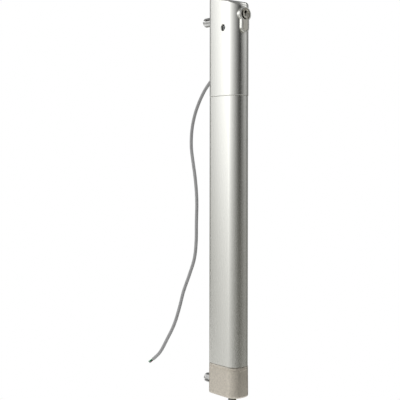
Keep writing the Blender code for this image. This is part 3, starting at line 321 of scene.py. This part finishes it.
def add_floor():
    """A plain pale round floor well below the object, which hangs from its rear face."""
    bm = bmesh.new()
    bmesh.ops.create_circle(bm, cap_ends=True, segments=96, radius=FLOOR_RADIUS)
    bm.transform(Matrix.Translation((0, 0, FLOOR_Z)))
    mesh = bpy.data.meshes.new("floor")
    bm.to_mesh(mesh)
    bm.free()
    floor = add_object("floor", mesh)
    mesh.materials.append(surface("floor", **FLOOR_FINISH))


# ---------------------------------------------------------------- materials
def surface(name, colour, roughness, metallic=0.0, grain=600, stretch=(1, 1, 1), spread=0.05,
            rough_spread=0.06, bump=0.0, bump_grain=2000, coat=0.0):
    """A procedural material: its colour and roughness drift with one noise, and a finer noise,
    which stretch can draw out into lines, is its relief. Bump is the relief's depth in metres."""
    material = bpy.data.materials.new(name)
    material.use_nodes = True
    tree = material.node_tree
    shader = tree.nodes["Principled BSDF"].inputs
    shader["Metallic"].default_value = metallic
    shader["Coat Weight"].default_value = coat
    place = add_node(tree, "TexCoord").outputs["Object"]
    place = add_node(tree, "Mapping", {"Vector": place, "Scale": stretch}).outputs["Vector"]

    def noise_value(scale, detail):
        inputs = {"Vector": place, "Scale": scale, "Detail": detail}
        return add_node(tree, "TexNoise", inputs).outputs["Fac"]

    drift = noise_value(grain, 4)
    darker = (*[c * (1 - spread) for c in colour], 1)
    lighter = (*[min(1.0, c * (1 + spread)) for c in colour], 1)
    base = mix_colours(tree, map_range(tree, drift, NOISE_RANGE), darker, lighter)
    tree.links.new(base, shader["Base Color"])
    ends = max(0.02, roughness - rough_spread), min(1.0, roughness + rough_spread)
    tree.links.new(map_range(tree, drift, NOISE_RANGE, ends), shader["Roughness"])
    if bump:
        relief = add_node(tree, "Bump", {"Strength": 1.0, "Distance": bump,
                                         "Height": noise_value(bump_grain, 3)})
        tree.links.new(relief.outputs["Normal"], shader["Normal"])
    return material


def paint_recess_shade(material):
    """Paints shade into the metal's colour in the keyway and in the groove round the plug, where
    the groove's painted shadow lies at its lower left."""
    tree = material.node_tree
    base = tree.nodes["Principled BSDF"].inputs["Base Color"]
    place = add_node(tree, "TexCoord").outputs["Object"]
    place = add_node(tree, "SeparateXYZ", {"Vector": place}).outputs

    def times(first, second):
        return maths(tree, "MULTIPLY", first, second)

    def depth_share(depths):
        return map_range(tree, place["Y"], [PLUG_LOW.y + depth for depth in depths])

    def radius_share(start, end):
        return map_range(tree, radius, (start, end))

    up = maths(tree, "SUBTRACT", place["Z"], LOCK_AXIS_Z)
    radius = maths(tree, "ADD", times(place["X"], place["X"]), times(up, up))
    radius = maths(tree, "SQRT", radius)
    # Painted shadow: the groove's shade is kept to its lower left, where shadow falls.
    low_left = times(maths(tree, "ADD", place["X"], times(up, 0.7)), -1.0)
    groove = times(radius_share(BOSS_RADIUS - 0.0003, BOSS_RADIUS - 0.0001),
                   depth_share(GROOVE_DEPTHS))
    groove = times(groove, map_range(tree, low_left, PAINTED_SHADOW_REACH))
    keyway = times(depth_share(KEYWAY_DEPTHS),
                   radius_share(BOSS_RADIUS - 0.0001, BOSS_RADIUS - 0.0003))
    share = times(maths(tree, "MAXIMUM", groove, keyway),
                  radius_share(MOUTH_RADIUS + 0.0002, MOUTH_RADIUS + 0.0001))
    # Mixes the painted shade into the metal's own colour.
    tree.links.new(mix_colours(tree, share, base.links[0].from_socket, PAINTED_SHADE_COLOUR), base)


def make_materials():
    """One finish for each of the record's slots."""
    materials = {slot: surface(slot, **finish) for slot, finish in FINISHES.items()}
    # The nickel gets painted shade in its keyway and groove.
    paint_recess_shade(materials["nickel"])
    return materials


# ---------------------------------------------------------------- outlines
def arc(centre_x, centre_y, radius, start, end, steps):
    """Points on an arc with their outward normals, angles in degrees."""
    points = []
    for i in range(steps + 1):
        angle = math.radians(start + (end - start) * i / steps)
        nx, ny = math.cos(angle), math.sin(angle)
        points.append((centre_x + radius * nx, centre_y + radius * ny, nx, ny))
    return points


def between(first, last, count):
    """Evenly spaced points between two outline points, without the ends."""
    return [tuple(a + (b - a) * i / count for a, b in zip(first, last)) for i in range(1, count)]


def polygon(centre_x, centre_y, radius, sides=6):
    return [(centre_x + radius * math.cos(math.tau * i / sides),
             centre_y + radius * math.sin(math.tau * i / sides)) for i in range(sides)]


def quarter_round(steps):
    """The shares of its radius by which a rounded edge lies inward and down, from the rim of the
    face to the side."""
    angles = [math.pi / 2 * step / steps for step in range(steps + 1)]
    return [(1 - math.sin(angle), 1 - math.cos(angle)) for angle in angles]


def section(inset=0.0, proud=0.0, steps=20, flats=12):
    """The housing's section from above, slightly crowned on its front and sides: x, y and the
    outward normal of each point. The rear face stays on y = 0."""
    half = BODY_HALF + proud - inset
    rear = -inset
    front = BODY_FRONT - proud + inset
    round_front = FRONT_RADIUS + proud - inset
    round_rear = REAR_RADIUS + proud - inset
    corners = [
        arc(half - round_front, front + round_front, round_front, -90, 0, steps),
        arc(half - round_rear, rear - round_rear, round_rear, 0, 90, steps),
        arc(-half + round_rear, rear - round_rear, round_rear, 90, 180, steps),
        arc(-half + round_front, front + round_front, round_front, 180, 270, steps),
    ]
    points = []
    for corner, following in zip(corners, corners[1:] + corners[:1]):
        points += corner
        points += between(corner[-1], following[0], flats)
    middle, reach = front / 2, -front / 2
    crowned = []
    for x, y, nx, ny in points:
        x -= math.copysign(SIDE_CROWN * ((y - middle) / reach) ** 2, x) * abs(nx)
        y += FRONT_CROWN * (x / half) ** 2 * max(0.0, -ny)
        crowned.append((x, y, nx, ny))
    return crowned


def lock_outline(inset=0.0):
    """The Euro profile in x and z."""
    steps = 48
    head = LOCK_HEAD_RADIUS - inset
    tail = LOCK_TAIL_HALF - inset
    foot_z = LOCK_LOW.z + LOCK_TAIL_HALF
    meet = math.degrees(math.asin(tail / head))
    points = arc(0, foot_z, tail, 180, 360, steps // 2)
    points += arc(0, LOCK_AXIS_Z, head, -90 + meet, 270 - meet, steps)
    return [(x, z) for x, z, _, _ in points]


def roof_height(y):
    return ROOF_REAR_Z + ROOF_SLOPE * y


# ---------------------------------------------------------------- solids
def make_object(name, bm):
    bmesh.ops.recalc_face_normals(bm, faces=bm.faces)
    mesh = bpy.data.meshes.new(name)
    bm.to_mesh(mesh)
    bm.free()
    return add_object(name, mesh)


def loft(name, rings):
    """A closed solid through rings of equally many points, capped at both ends."""
    bm = bmesh.new()
    made = [[bm.verts.new(p) for p in ring] for ring in rings]
    for low, high in zip(made, made[1:]):
        for i in range(len(low)):
            j = (i + 1) % len(low)
            bm.faces.new((low[i], low[j], high[j], high[i]))
    bm.faces.new(list(reversed(made[0])))
    bm.faces.new(made[-1])
    return make_object(name, bm)


def prism(name, outline, low, high, axis="Z"):
    """An outline in the two other axes, drawn out along this one."""
    place = {
        "Z": lambda a, b, level: (a, b, level),
        "Y": lambda a, b, level: (a, level, b),
        "X": lambda a, b, level: (level, a, b),
    }[axis]
    return loft(name, [[place(p[0], p[1], level) for p in outline] for level in (low, high)])


def turned(name, profile, origin, axis="Z", segments=64):
    """A solid turned about an axis. The profile runs from radius 0 to radius 0, or round a ring."""
    bm = bmesh.new()
    rings = []
    for radius, height in profile:
        if radius == 0:
            rings.append([bm.verts.new((0, 0, height))])
            continue
        rings.append([bm.verts.new((x, y, height)) for x, y in polygon(0, 0, radius, segments)])
    for first, second in zip(rings, rings[1:] + rings[:1]):
        if len(first) == 1 and len(second) == 1:
            continue
        for i in range(segments):
            j = (i + 1) % segments
            corners = [first[0]] if len(first) == 1 else [first[i], first[j]]
            corners += [second[0]] if len(second) == 1 else [second[j], second[i]]
            bm.faces.new(corners)
    turn = {"Z": Matrix(), "Y": Matrix.Rotation(-math.pi / 2, 4, "X"),
            "X": Matrix.Rotation(math.pi / 2, 4, "Y")}[axis]
    bm.transform(Matrix.Translation(origin) @ turn)
    return make_object(name, bm)


def box(name, lower, upper):
    outline = [(lower[0], lower[1]), (upper[0], lower[1]), (upper[0], upper[1]),
               (lower[0], upper[1])]
    return prism(name, outline, lower[2], upper[2])


def bore(radius, low, high, origin, axis, segments=48):
    profile = [(0, low), (radius, low), (radius, high), (0, high)]
    return turned("bore", profile, origin, axis, segments)


def apply_modifiers(obj):
    graph = bpy.context.evaluated_depsgraph_get()
    mesh = bpy.data.meshes.new_from_object(obj.evaluated_get(graph))
    obj.modifiers.clear()
    obj.data = mesh


def combine(obj, tool, operation):
    modifier = obj.modifiers.new(operation.lower(), "BOOLEAN")
    modifier.operation = operation
    modifier.object = tool
    apply_modifiers(obj)
    bpy.data.objects.remove(tool, do_unlink=True)


def cut(obj, *tools):
    for tool in tools:
        combine(obj, tool, "DIFFERENCE")


def join(obj, *tools):
    for tool in tools:
        combine(obj, tool, "UNION")


def dress(obj, edge=0.0, segments=2, sharp=35):
    """Rounds the sharp edges and shades the rest smooth, with the flat faces kept flat."""
    if edge:
        bevel = obj.modifiers.new("edge", "BEVEL")
        bevel.width = edge
        bevel.segments = segments
        bevel.limit_method = "ANGLE"
        bevel.angle_limit = math.radians(sharp)
        bevel.use_clamp_overlap = True
        apply_modifiers(obj)
    obj.data.shade_smooth()
    obj.data.set_sharp_from_angle(angle=math.radians(sharp))
    weighted = obj.modifiers.new("normals", "WEIGHTED_NORMAL")
    weighted.keep_sharp = True
    apply_modifiers(obj)


def stand_for(obj, body, slot, *nodes):
    """Gives the piece its finish, its body and the CAD nodes it stands for."""
    if obj.type == "MESH":
        obj.data.materials.clear()
    obj.data.materials.append(MATERIALS[slot])
    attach(obj, body)
    if nodes:
        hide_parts(*nodes)
    return obj


# ---------------------------------------------------------------- housing
def countersink(x, z):
    """A cutter for a rear screw's hole."""
    hole = REAR_SCREW_RADIUS
    profile = [(0, -0.004), (hole, -0.004), (hole, -0.0016), (0.0051, 0.0016), (0, 0.0016)]
    return turned("countersink", profile, (x, 0, z), "Y", 40)


def lock_collar():
    """The raised rim round the lock, its outer edge rounded."""
    edge = 0.0008
    rings = []
    for inward, back in quarter_round(6):
        face = lock_outline(inset=edge * inward - COLLAR_WALL)
        level = COLLAR_FRONT_Y + edge * back
        rings.append([(x * COLLAR_SPREAD, level, z) for x, z in face])
    root = lock_outline(inset=-COLLAR_WALL)
    rings.append([(x * COLLAR_SPREAD, COLLAR_ROOT_Y, z) for x, z in root])
    return loft("lock_collar", rings)


def head_shell():
    """The upper casting with its falling roof, hollow, with holes for lock, fixing and cable."""
    base = section(proud=CASTING_STEP)
    lip = 0.0003
    rings = [
        [(x - nx * lip, y - ny * lip, HEAD_LOW.z) for x, y, nx, ny in base],
        [(x, y, HEAD_LOW.z + lip) for x, y, _, _ in base],
    ]
    for down, inward in quarter_round(16):
        ring = []
        for x, y, nx, ny in base:
            radius = ROOF_SIDE_RADIUS + (ROOF_FRONT_RADIUS - ROOF_SIDE_RADIUS) * max(0, -ny) ** 2
            reach = radius * inward
            px, py = x - nx * reach, y - ny * reach
            ring.append((px, py, roof_height(py) - radius * down))
        rings.append(ring)
    shell = loft("head_shell", rings)
    hollow = section(inset=HEAD_WALL, proud=CASTING_STEP, steps=8, flats=2)
    cut(shell, loft("cavity", [
        [(x, y, HEAD_LOW.z - 0.01) for x, y, _, _ in hollow],
        [(x, y, roof_height(y) - 0.0042) for x, y, _, _ in hollow],
    ]))
    join(shell, lock_collar())
    cut(shell, prism("lock_hole", lock_outline(inset=-0.0005), -0.075, -0.050, "Y"))
    cut(shell, bore(ACCESS_HOLE_RADIUS, -0.022, -0.014, (0, CAM_CENTRE_Y, LOCK_SCREW_Z), "X", 64))
    for z in (FIXING_Z, GROMMET_Z):
        cut(shell, bore(FIXING_HOLE_RADIUS, -0.006, 0.004, (0, 0, z), "Y"))
    for node in HEAD_SCREWS:
        cut(shell, countersink(*screw_place(node)))
    dress(shell, 0.00018)
    stand_for(shell, "housing", "anodised", "head_cover")


def screw_place(node):
    """Where a rear screw's axis is, in x and z."""
    low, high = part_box(node)
    return (low.x + high.x) / 2, (low.z + high.z) / 2


def tube_shell():
    """The long extruded tube with chamfered ends."""
    edge = 0.0005
    outer = section()
    levels = [(edge, TUBE_LOW.z), (0, TUBE_LOW.z + edge), (0, TUBE_HIGH.z - edge),
              (edge, TUBE_HIGH.z)]
    shell = loft("tube_shell", [
        [(x - nx * inward, y - ny * inward, z) for x, y, nx, ny in outer] for inward, z in levels
    ])
    inner = section(inset=TUBE_WALL, steps=8, flats=2)
    cut(shell, prism("channel", inner, TUBE_LOW.z - 0.01, TUBE_HIGH.z + 0.01))
    for node in TUBE_SCREWS:
        cut(shell, countersink(*screw_place(node)))
    dress(shell, 0.00012)
    stand_for(shell, "housing", "anodised", "tube")


def foot_casting():
    """The sand-cast foot: drafted walls with an uneven skin, a neck under the tube and a spigot."""
    top = TUBE_LOW.z - GAP
    levels = [(FOOT_OUTSET - FOOT_EDGE * inward, CAP_LOW.z + FOOT_EDGE * up)
              for inward, up in quarter_round(6)]
    wall_foot, shoulder, wall_steps = CAP_LOW.z + FOOT_EDGE, top - 0.0041, 26
    wall = shoulder - CAP_LOW.z - FOOT_EDGE
    for step in range(1, wall_steps + 1):
        share = step / wall_steps
        levels.append((FOOT_OUTSET * (1 - share), wall_foot + wall * share))
    levels += [(-0.0004, top - 0.0038), (-0.0001, top - 0.0034), (-0.0001, top - 0.0006),
               (-0.0006, top)]
    base = section(proud=CASTING_STEP)
    rings = []
    for out, z in levels:
        ring = []
        for x, y, nx, ny in base:
            px, py = x + nx * out, y + ny * out if ny < 0 else y + ny * min(out, 0)
            rough = noise.fractal(Vector((px, py, z)) * SKIN_GRAIN, 1.0, 2.0, 3)
            dent = SKIN_DENT * (0.5 + 0.5 * max(-1.0, min(1.0, rough)))
            if z > shoulder or ny > 0.95:
                dent = 0.0
            ring.append((px - nx * dent, py - ny * dent, z))
        rings.append(ring)
    cast = loft("foot_casting", rings)
    spigot = section(inset=TUBE_WALL + GAP, steps=8, flats=2)
    join(cast, prism("spigot", spigot, top - 0.004, CAP_HIGH.z))
    below, above = CAP_LOW.z - 0.01, CAP_HIGH.z + 0.01
    cut(cast, box("pocket", (-0.0105, -0.0215, -0.260), (0.0105, -0.0065, above)))
    seat, hole, way = 0.0093, 0.0066, 0.0113
    wiper_top, way_floor = CAP_LOW.z + 0.0068, -0.262
    steps = [(0, below), (seat, below), (seat, wiper_top), (hole, wiper_top), (hole, way_floor),
             (way, way_floor), (way, above), (0, above)]
    cut(cast, turned("rod_way", steps, (0, DRIVE_Y, 0)))
    cut(cast, bore(FIXING_HOLE_RADIUS, -0.0165, 0.004, (0, 0, -FIXING_Z), "Y"))
    for node in CAP_SCREWS:
        x, z = screw_place(node)
        cut(cast, bore(REAR_SCREW_RADIUS, -0.014, 0.002, (x, 0, z), "Y", 24))
    dress(cast, 0.00015, 1)
    stand_for(cast, "housing", "casting", "bottom_cap")


def rear_screw(node):
    """A countersunk screw with a tapered cross recess."""
    low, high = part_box(node)
    x, z = screw_place(node)
    head, shank = high.x - x, 0.0016
    profile = [(0, low.y), (shank, low.y), (shank, -0.0018), (head, -0.00045), (head, -0.0003),
               (head - 0.00015, high.y), (0, high.y)]
    screw = turned(node + "_head", profile, (x, 0, z), "Y", 40)
    long, thin, deepest = 0.00175, 0.00036, 0.0007
    for wide, tall in ((long, thin), (thin, long)):
        mouth = [(x + sx * wide, 0.0004, z + sz * tall) for sx, sz in SQUARE]
        wide, tall = min(wide, deepest), min(tall, deepest)
        floor = [(x + sx * wide, -0.0015, z + sz * tall) for sx, sz in SQUARE]
        cut(screw, loft("recess", [mouth, floor]))
    dress(screw, 0.00008, 1)
    stand_for(screw, "housing", "zinc", node)


def thread(name, radius, depth, pitch, low, high, starts=1, segments=40, steps=10):
    """A threaded bar along Z, closed at both ends."""
    flat = 0.35  # the share of the pitch that its flat crest and root take
    rings = [[(x, y, low) for x, y in polygon(0, 0, 0.7 * radius, segments)]]
    rows = int((high - low) / pitch * starts * steps)
    for row in range(rows + 1):
        z = low + (high - low) * row / rows
        fade = min(1.0, row / steps, (rows - row) / steps)
        ring = []
        for i in range(segments):
            phase = (z / pitch * starts - starts * i / segments) % 1.0
            height = min(1.0, max(0.0, (abs(2 * phase - 1) - flat / 2) / (1 - flat)))
            r = radius - depth * height - depth * 0.8 * (1 - fade)
            angle = math.tau * i / segments
            ring.append((r * math.cos(angle), r * math.sin(angle), z))
        rings.append(ring)
    rings.append([(x, y, high) for x, y, _ in rings[0]])
    return loft(name, rings)


def fixing(side, z, slot_angle):
    """A rear fixing: a threaded stud with a hexagon socket in a slotted, turned sleeve."""
    low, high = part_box(f"{side}_fixing_stud")
    stud = thread(f"{side}_stud_thread", radius=0.0040, depth=0.00055, pitch=0.00125, low=0.0,
                  high=high.y - low.y, segments=32)
    stud.data.transform(Matrix.Translation((0, low.y, z)) @ Matrix.Rotation(-math.pi / 2, 4, "X"))
    cut(stud, prism("socket", polygon(0, z, 0.0020), high.y - 0.003, high.y + 0.01, "Y"))
    dress(stud, 0, sharp=50)
    stand_for(stud, "housing", "dark_steel", f"{side}_fixing_stud")

    tip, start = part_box(f"{side}_fixing_sleeve")[1].y, 0.0024
    outer, inner, edge = SLEEVE_RADIUS, FIXING_HOLE_RADIUS, 0.0003
    profile = [(inner, start), (outer - edge, start), (outer, start + edge)]
    for groove in range(5):
        y = start + 0.0030 + 0.0026 * groove
        profile += [(outer, y - 0.0003), (outer - 0.0002, y), (outer, y + 0.0003)]
    profile += [(outer, tip - 0.0010), (outer - 0.0003, tip - 0.0004), (outer - 0.0010, tip),
                (inner + 0.0004, tip), (inner, tip - 0.0004)]
    sleeve = turned(f"{side}_clamping_sleeve", profile, (0, 0, z), "Y", 80)
    slot = box("slot", (-0.0012, 0.0040, 0.0030), (0.0012, 0.05, 0.0090))
    turn = Matrix.Rotation(math.radians(slot_angle), 4, "Y")
    slot.data.transform(Matrix.Translation((0, 0, z)) @ turn)
    cut(sleeve, slot)
    dress(sleeve, 0.00012, 1, 50)
    stand_for(sleeve, "housing", "steel", f"{side}_fixing_sleeve")

    low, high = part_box(f"{side}_fixing_washer")
    washer = turned(f"{side}_washer", [
        (0.0045, low.y), (high.x - edge, low.y), (high.x, low.y + edge), (high.x, high.y - edge),
        (high.x - edge, high.y), (0.0045, high.y)], (0, 0, z), "Y")
    dress(washer, 0, sharp=50)
    stand_for(washer, "housing", "zinc", f"{side}_fixing_washer")


# ---------------------------------------------------------------- lock
def cylinder_body():
    """The half cylinder: rounded edges, the plug's bore, the cam's gap and the screw's hole."""
    low, high = LOCK_LOW.y, LOCK_HIGH.y
    edge, rear_edge = 0.0007, 0.0003
    rings = []
    for inward, back in quarter_round(4):
        face = lock_outline(inset=edge * inward)
        rings.append([(x, low + edge * back, z) for x, z in face])
    rings.append([(x, high - rear_edge, z) for x, z in lock_outline()])
    rings.append([(x, high, z) for x, z in lock_outline(inset=rear_edge)])
    body = loft("cylinder_body", rings)
    cam_low, cam_high = CAM_CENTRE_Y - LOCK_CAM_HALF, CAM_CENTRE_Y + LOCK_CAM_HALF
    axis = (0, 0, LOCK_AXIS_Z)
    cut(body, bore(PLUG_BORE_RADIUS, low - 0.01, CAM_CENTRE_Y, axis, "Y", 80))
    mouth = [(0, -0.0005), (MOUTH_RADIUS, -0.0005), (MOUTH_RADIUS, 0.0012), (0.0068, 0.0014),
             (0, 0.0014)]
    cut(body, turned("mouth", mouth, (0, low, LOCK_AXIS_Z), "Y", 80))
    cut(body, box("cam_gap", (-0.02, cam_low, LOCK_LOW.z + 0.0093), (0.02, cam_high, 0.30)))
    cut(body, bore(PLUG_PIN_RADIUS + 0.0004, CAM_CENTRE_Y, high + 0.01, axis, "Y"))
    cut(body, bore(0.0028, -0.01, 0.01, (0, CAM_CENTRE_Y, LOCK_SCREW_Z), "X"))
    dress(body, 0.00012)
    stand_for(body, "housing", "nickel", "lock_body")


def key_plug():
    """The barrel: a raised boss with a guide for the key over a stepped keyway."""
    face, step = PLUG_LOW.y, CAM_CENTRE_Y - LOCK_CAM_HALF - GAP
    boss, groove, dish, pin = BOSS_RADIUS, 0.0027, 0.0019, PLUG_PIN_RADIUS
    profile = [(0, face + dish), (0.0022, face + dish), (boss - 0.0006, face + 0.0001),
               (boss - 0.0005, face), (boss - 0.0002, face + 0.0001), (boss, face + 0.0004),
               (boss, face + groove), (PLUG_RADIUS - 0.0002, face + groove),
               (PLUG_RADIUS, face + groove + 0.0002), (PLUG_RADIUS, step), (pin, step),
               (pin, PLUG_HIGH.y), (0, PLUG_HIGH.y)]
    plug = turned("key_plug", profile, (0, 0, LOCK_AXIS_Z), "Y", 80)
    half, lean = 0.00055, 0.0005
    left, right = [], []
    for level, shift in ((0.0044, 0), (0.0012, 0), (0.0004, lean), (-0.0010, lean), (-0.0018, 0),
                         (-0.0030, 0), (-0.0042, 0)):
        left.append((shift - half, LOCK_AXIS_Z + level))
        right.append((shift + half, LOCK_AXIS_Z + level))
    cut(plug, prism("keyway", left + right[::-1], face - 0.01, step - 0.004, "Y"))
    guide_z, wide = LOCK_AXIS_Z + 0.0026, 0.0026
    diamond = [(0, -1.9), (0.30, -0.85), (1.0, 0.10), (0.45, 0.90), (-0.45, 0.90), (-1.0, 0.10),
               (-0.30, -0.85)]
    funnel = loft("funnel", [
        [(x * wide * size, face + depth, guide_z + z * wide * size) for x, z in diamond]
        for size, depth in ((1.06, -0.0006), (0.96, 0.0022), (0.86, 0.0140))
    ])
    cut(plug, funnel)
    dress(plug, 0.0001, 1)
    stand_for(plug, "key", "nickel", "lock_plug")


def lock_screw():
    """The screw that holds the half cylinder: a chamfered head with a hexagon socket."""
    low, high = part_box("lock_screw")
    head = (high.y - low.y) / 2
    origin = (0, CAM_CENTRE_Y, LOCK_SCREW_Z)
    profile = [(0, low.x), (head - 0.0008, low.x), (head - 0.0002, low.x + 0.0003),
               (head, low.x + 0.0008), (head, -0.0097), (0.0025, -0.0097),
               (0.0025, high.x - 0.0004), (0.0021, high.x), (0, high.x)]
    screw = turned("cylinder_screw", profile, origin, "X", 64)
    cut(screw, prism("socket", polygon(CAM_CENTRE_Y, LOCK_SCREW_Z, 0.0023), -0.02, -0.0122, "X"))
    dress(screw, 0.0001, 1)
    stand_for(screw, "housing", "zinc", "lock_screw")


# ---------------------------------------------------------------- rod
def bolt_rod():
    """The round bolt with its chamfered, slightly rounded tip and the bore for the screw."""
    radius = (ROD_HIGH.x - ROD_LOW.x) / 2
    tip, top = ROD_LOW.z, ROD_HIGH.z
    profile = [(0, tip), (radius - 0.0021, tip), (radius - 0.0015, tip + 0.0002),
               (radius - 0.0002, tip + 0.0015), (radius, tip + 0.0021), (radius, top - 0.0005),
               (radius - 0.0005, top), (SCREW_BORE_RADIUS, top),
               (SCREW_BORE_RADIUS, SCREW_BORE_END_Z), (0, SCREW_BORE_END_Z - 0.0010)]
    bar = turned("bolt_rod", profile, (0, DRIVE_Y, 0), "Z", 96)
    dress(bar, 0, sharp=30)
    stand_for(bar, "rod", "dark_steel", "rod")


def wiper_seal():
    """The rubber wiper in the foot, with a raised lip round the rod."""
    low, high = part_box("rod_wiper")
    outer = high.x
    profile = [(0.00612, low.z), (0.0066, low.z + 0.0001), (0.0070, low.z + 0.0012),
               (0.0080, low.z + 0.0013), (0.0083, low.z + 0.0002), (outer - 0.0002, low.z + 0.0001),
               (outer, low.z + 0.0006), (outer, high.z), (0.0064, high.z), (0.0062, high.z - 0.002)]
    seal = turned("wiper_seal", profile, (0, DRIVE_Y, 0), "Z", 72)
    dress(seal, 0, sharp=50)
    stand_for(seal, "housing", "black_rubber", "rod_wiper")


def screw_thread():
    """The lead screw, with its four-start thread cut in and its collar, journal and hexagon."""
    low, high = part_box("lead_screw")
    screw = thread("screw_thread", radius=0.0040, depth=0.0006, pitch=0.006, low=low.z,
                   high=-0.0060, starts=4, steps=8)
    screw.data.transform(Matrix.Translation((0, DRIVE_Y, 0)))
    collar = [(0, -0.0065), (0.0040, -0.0065), (0.0040, -0.0047), (0.0067, -0.0047),
              (0.0070, -0.0044), (0.0070, -0.0025), (0.0067, -0.0022), (0, -0.0022)]
    join(screw, turned("collar", collar, (0, DRIVE_Y, 0)))
    join(screw, prism("hexagon", polygon(0, DRIVE_Y, 0.0046), -0.0030, high.z))
    dress(screw, 0, sharp=40)
    stand_for(screw, "screw", "steel", "lead_screw")


def return_spring():
    """The release's return spring, built at one length."""
    low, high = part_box("release_spring")
    radius, turns, per_turn, sides = (high.x - low.x) / 2 - SPRING_WIRE, 5, 32, 8
    middle = (low + high) / 2
    reach = high.z - low.z - 2 * SPRING_WIRE
    rings = []
    for i in range(turns * per_turn + 1):
        angle = math.tau * i / per_turn
        out = Vector((math.cos(angle), math.sin(angle), 0))
        centre = Vector((middle.x, middle.y, low.z + SPRING_WIRE + reach * i / (turns * per_turn)))
        rings.append([centre + out * (radius + SPRING_WIRE * math.cos(math.tau * k / sides))
                      + Vector((0, 0, SPRING_WIRE * math.sin(math.tau * k / sides)))
                      for k in range(sides)])
    spring = loft("return_spring", rings)
    dress(spring, 0, sharp=60)
    stand_for(spring, "housing", "steel", "release_spring")
    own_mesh(spring)


# ---------------------------------------------------------------- cable
def smooth_route(points, step):
    """A smooth curve through the points, read every step metres."""
    points = [Vector(p) for p in points]
    last = len(points) - 1
    slopes = [(points[min(i + 1, last)] - points[max(i - 1, 0)]) / 2 for i in range(last + 1)]
    fine = []
    for i in range(last):
        for k in range(24):
            t = k / 24
            fine.append(points[i] * (2 * t**3 - 3 * t**2 + 1) + slopes[i] * (t**3 - 2 * t**2 + t)
                        + points[i + 1] * (3 * t**2 - 2 * t**3) + slopes[i + 1] * (t**3 - t**2))
    fine.append(points[-1])
    lengths = [0.0]
    for a, b in zip(fine, fine[1:]):
        lengths.append(lengths[-1] + (b - a).length)
    count = round(lengths[-1] / step)
    route, at = [], 0
    for i in range(count + 1):
        wanted = lengths[-1] * i / count
        while at < len(lengths) - 2 and lengths[at + 1] < wanted:
            at += 1
        share = (wanted - lengths[at]) / (lengths[at + 1] - lengths[at])
        route.append(fine[at].lerp(fine[at + 1], share))
    return route


def wire(name, points, radius, resolution=6):
    """A round wire along the points."""
    curve = bpy.data.curves.new(name, "CURVE")
    curve.dimensions = "3D"
    curve.bevel_depth = radius
    curve.bevel_resolution = resolution
    curve.use_fill_caps = True
    spline = curve.splines.new("POLY")
    spline.points.add(len(points) - 1)
    for point, place in zip(spline.points, points):
        point.co = (*place, 1)
    return add_object(name, curve)


def supply_cable():
    """The grey sheath on its route, and the stripped cores at its bare end."""
    route = smooth_route(CABLE_ROUTE, CABLE_STEP)
    keep = len(route) - round(CABLE_STRIPPED / CABLE_STEP)
    sheath = wire("cable_sheath", route[:keep], CABLE_RADIUS - 0.00005)
    stand_for(sheath, "housing", "grey_pvc", "cable")
    end = route[keep - 1]
    along = (route[-1] - end).normalized()
    side = along.cross(Vector((0, 0, 1))).normalized()
    other = along.cross(side)
    cores = []
    for i, slot in enumerate(("red_pvc", "black_pvc", "green_plastic", "blue_plastic")):
        angle = math.tau * (i + 0.5) / 4
        offset = (side * math.cos(angle) + other * math.sin(angle)) * CORE_OFFSET
        reach = CABLE_STRIPPED * (0.72 + 0.06 * i)
        points = [end + offset - along * 0.002, end + offset,
                  end + offset * 1.25 + along * reach * 0.5, end + offset * 1.35 + along * reach]
        core = wire(f"cable_core_{i + 1}", points, CORE_RADIUS, 3)
        cores.append(stand_for(core, "housing", slot))
    cores + [grommet_boot()]


def grommet_boot():
    """The ribbed rubber boot that turns the cable downwards out of the rear wall."""
    flange = turned("cable_boot", [
        (0, -0.0040), (0.0052, -0.0040), (0.0052, -0.0028), (0.0040, -0.0028), (0.0040, 0.0003),
        (0.0056, 0.0003), (0.0059, 0.0006), (0.0059, 0.0012), (0.0054, 0.0018), (0.0044, 0.0021),
        (0, 0.0022)], (0, 0, GROMMET_Z), "Y", 48)
    start, end = Vector((0, 0.0010, GROMMET_Z)), Vector(CABLE_ROUTE[0])
    leave = (Vector(CABLE_ROUTE[1]) - end).normalized()
    rings, steps = [], 30
    for step in range(steps + 1):
        t = step / steps
        centre = start.lerp(end - leave * 0.0002, t)
        normal = Vector((0, 1, 0)).lerp(leave, min(1, t * 1.3)).normalized()
        radius = 0.0043 - 0.0010 * t + 0.0003 * math.cos(math.tau * t * 4)
        side = normal.cross(Vector((1, 0, 0))).normalized()
        other = normal.cross(side)
        rings.append([centre + radius * (side * x + other * y) for x, y in polygon(0, 0, 1, 40)])
    join(flange, loft("nose", rings))
    dress(flange, 0, sharp=50)
    return stand_for(flange, "housing", "black_rubber", "cable_grommet")


# ---------------------------------------------------------------- making
def carry_over():
    """Every CAD node that still shows gets its slot's finish and smooth round faces."""
    slots = {part["node"]: part["material_slot"] for part in frame["record"]["subparts"]}
    for name, node in frame["nodes"].items():
        node.data.materials.clear()
        node.data.materials.append(MATERIALS[slots[name]])
        if not node.hide_render:
            node.data.shade_smooth()
            node.data.set_sharp_from_angle(angle=math.radians(30))


add_camera()
bpy.context.scene.view_settings.view_transform = "Standard"
MATERIALS = make_materials()
studio_world()
add_floor()
supply_cable()
head_shell()
tube_shell()
foot_casting()
for screw_node in HEAD_SCREWS + TUBE_SCREWS:
    rear_screw(screw_node)
fixing("top", FIXING_Z, -70)
fixing("bottom", -FIXING_Z, -110)
cylinder_body()
key_plug()
lock_screw()
bolt_rod()
wiper_seal()
screw_thread()
return_spring()
carry_over()
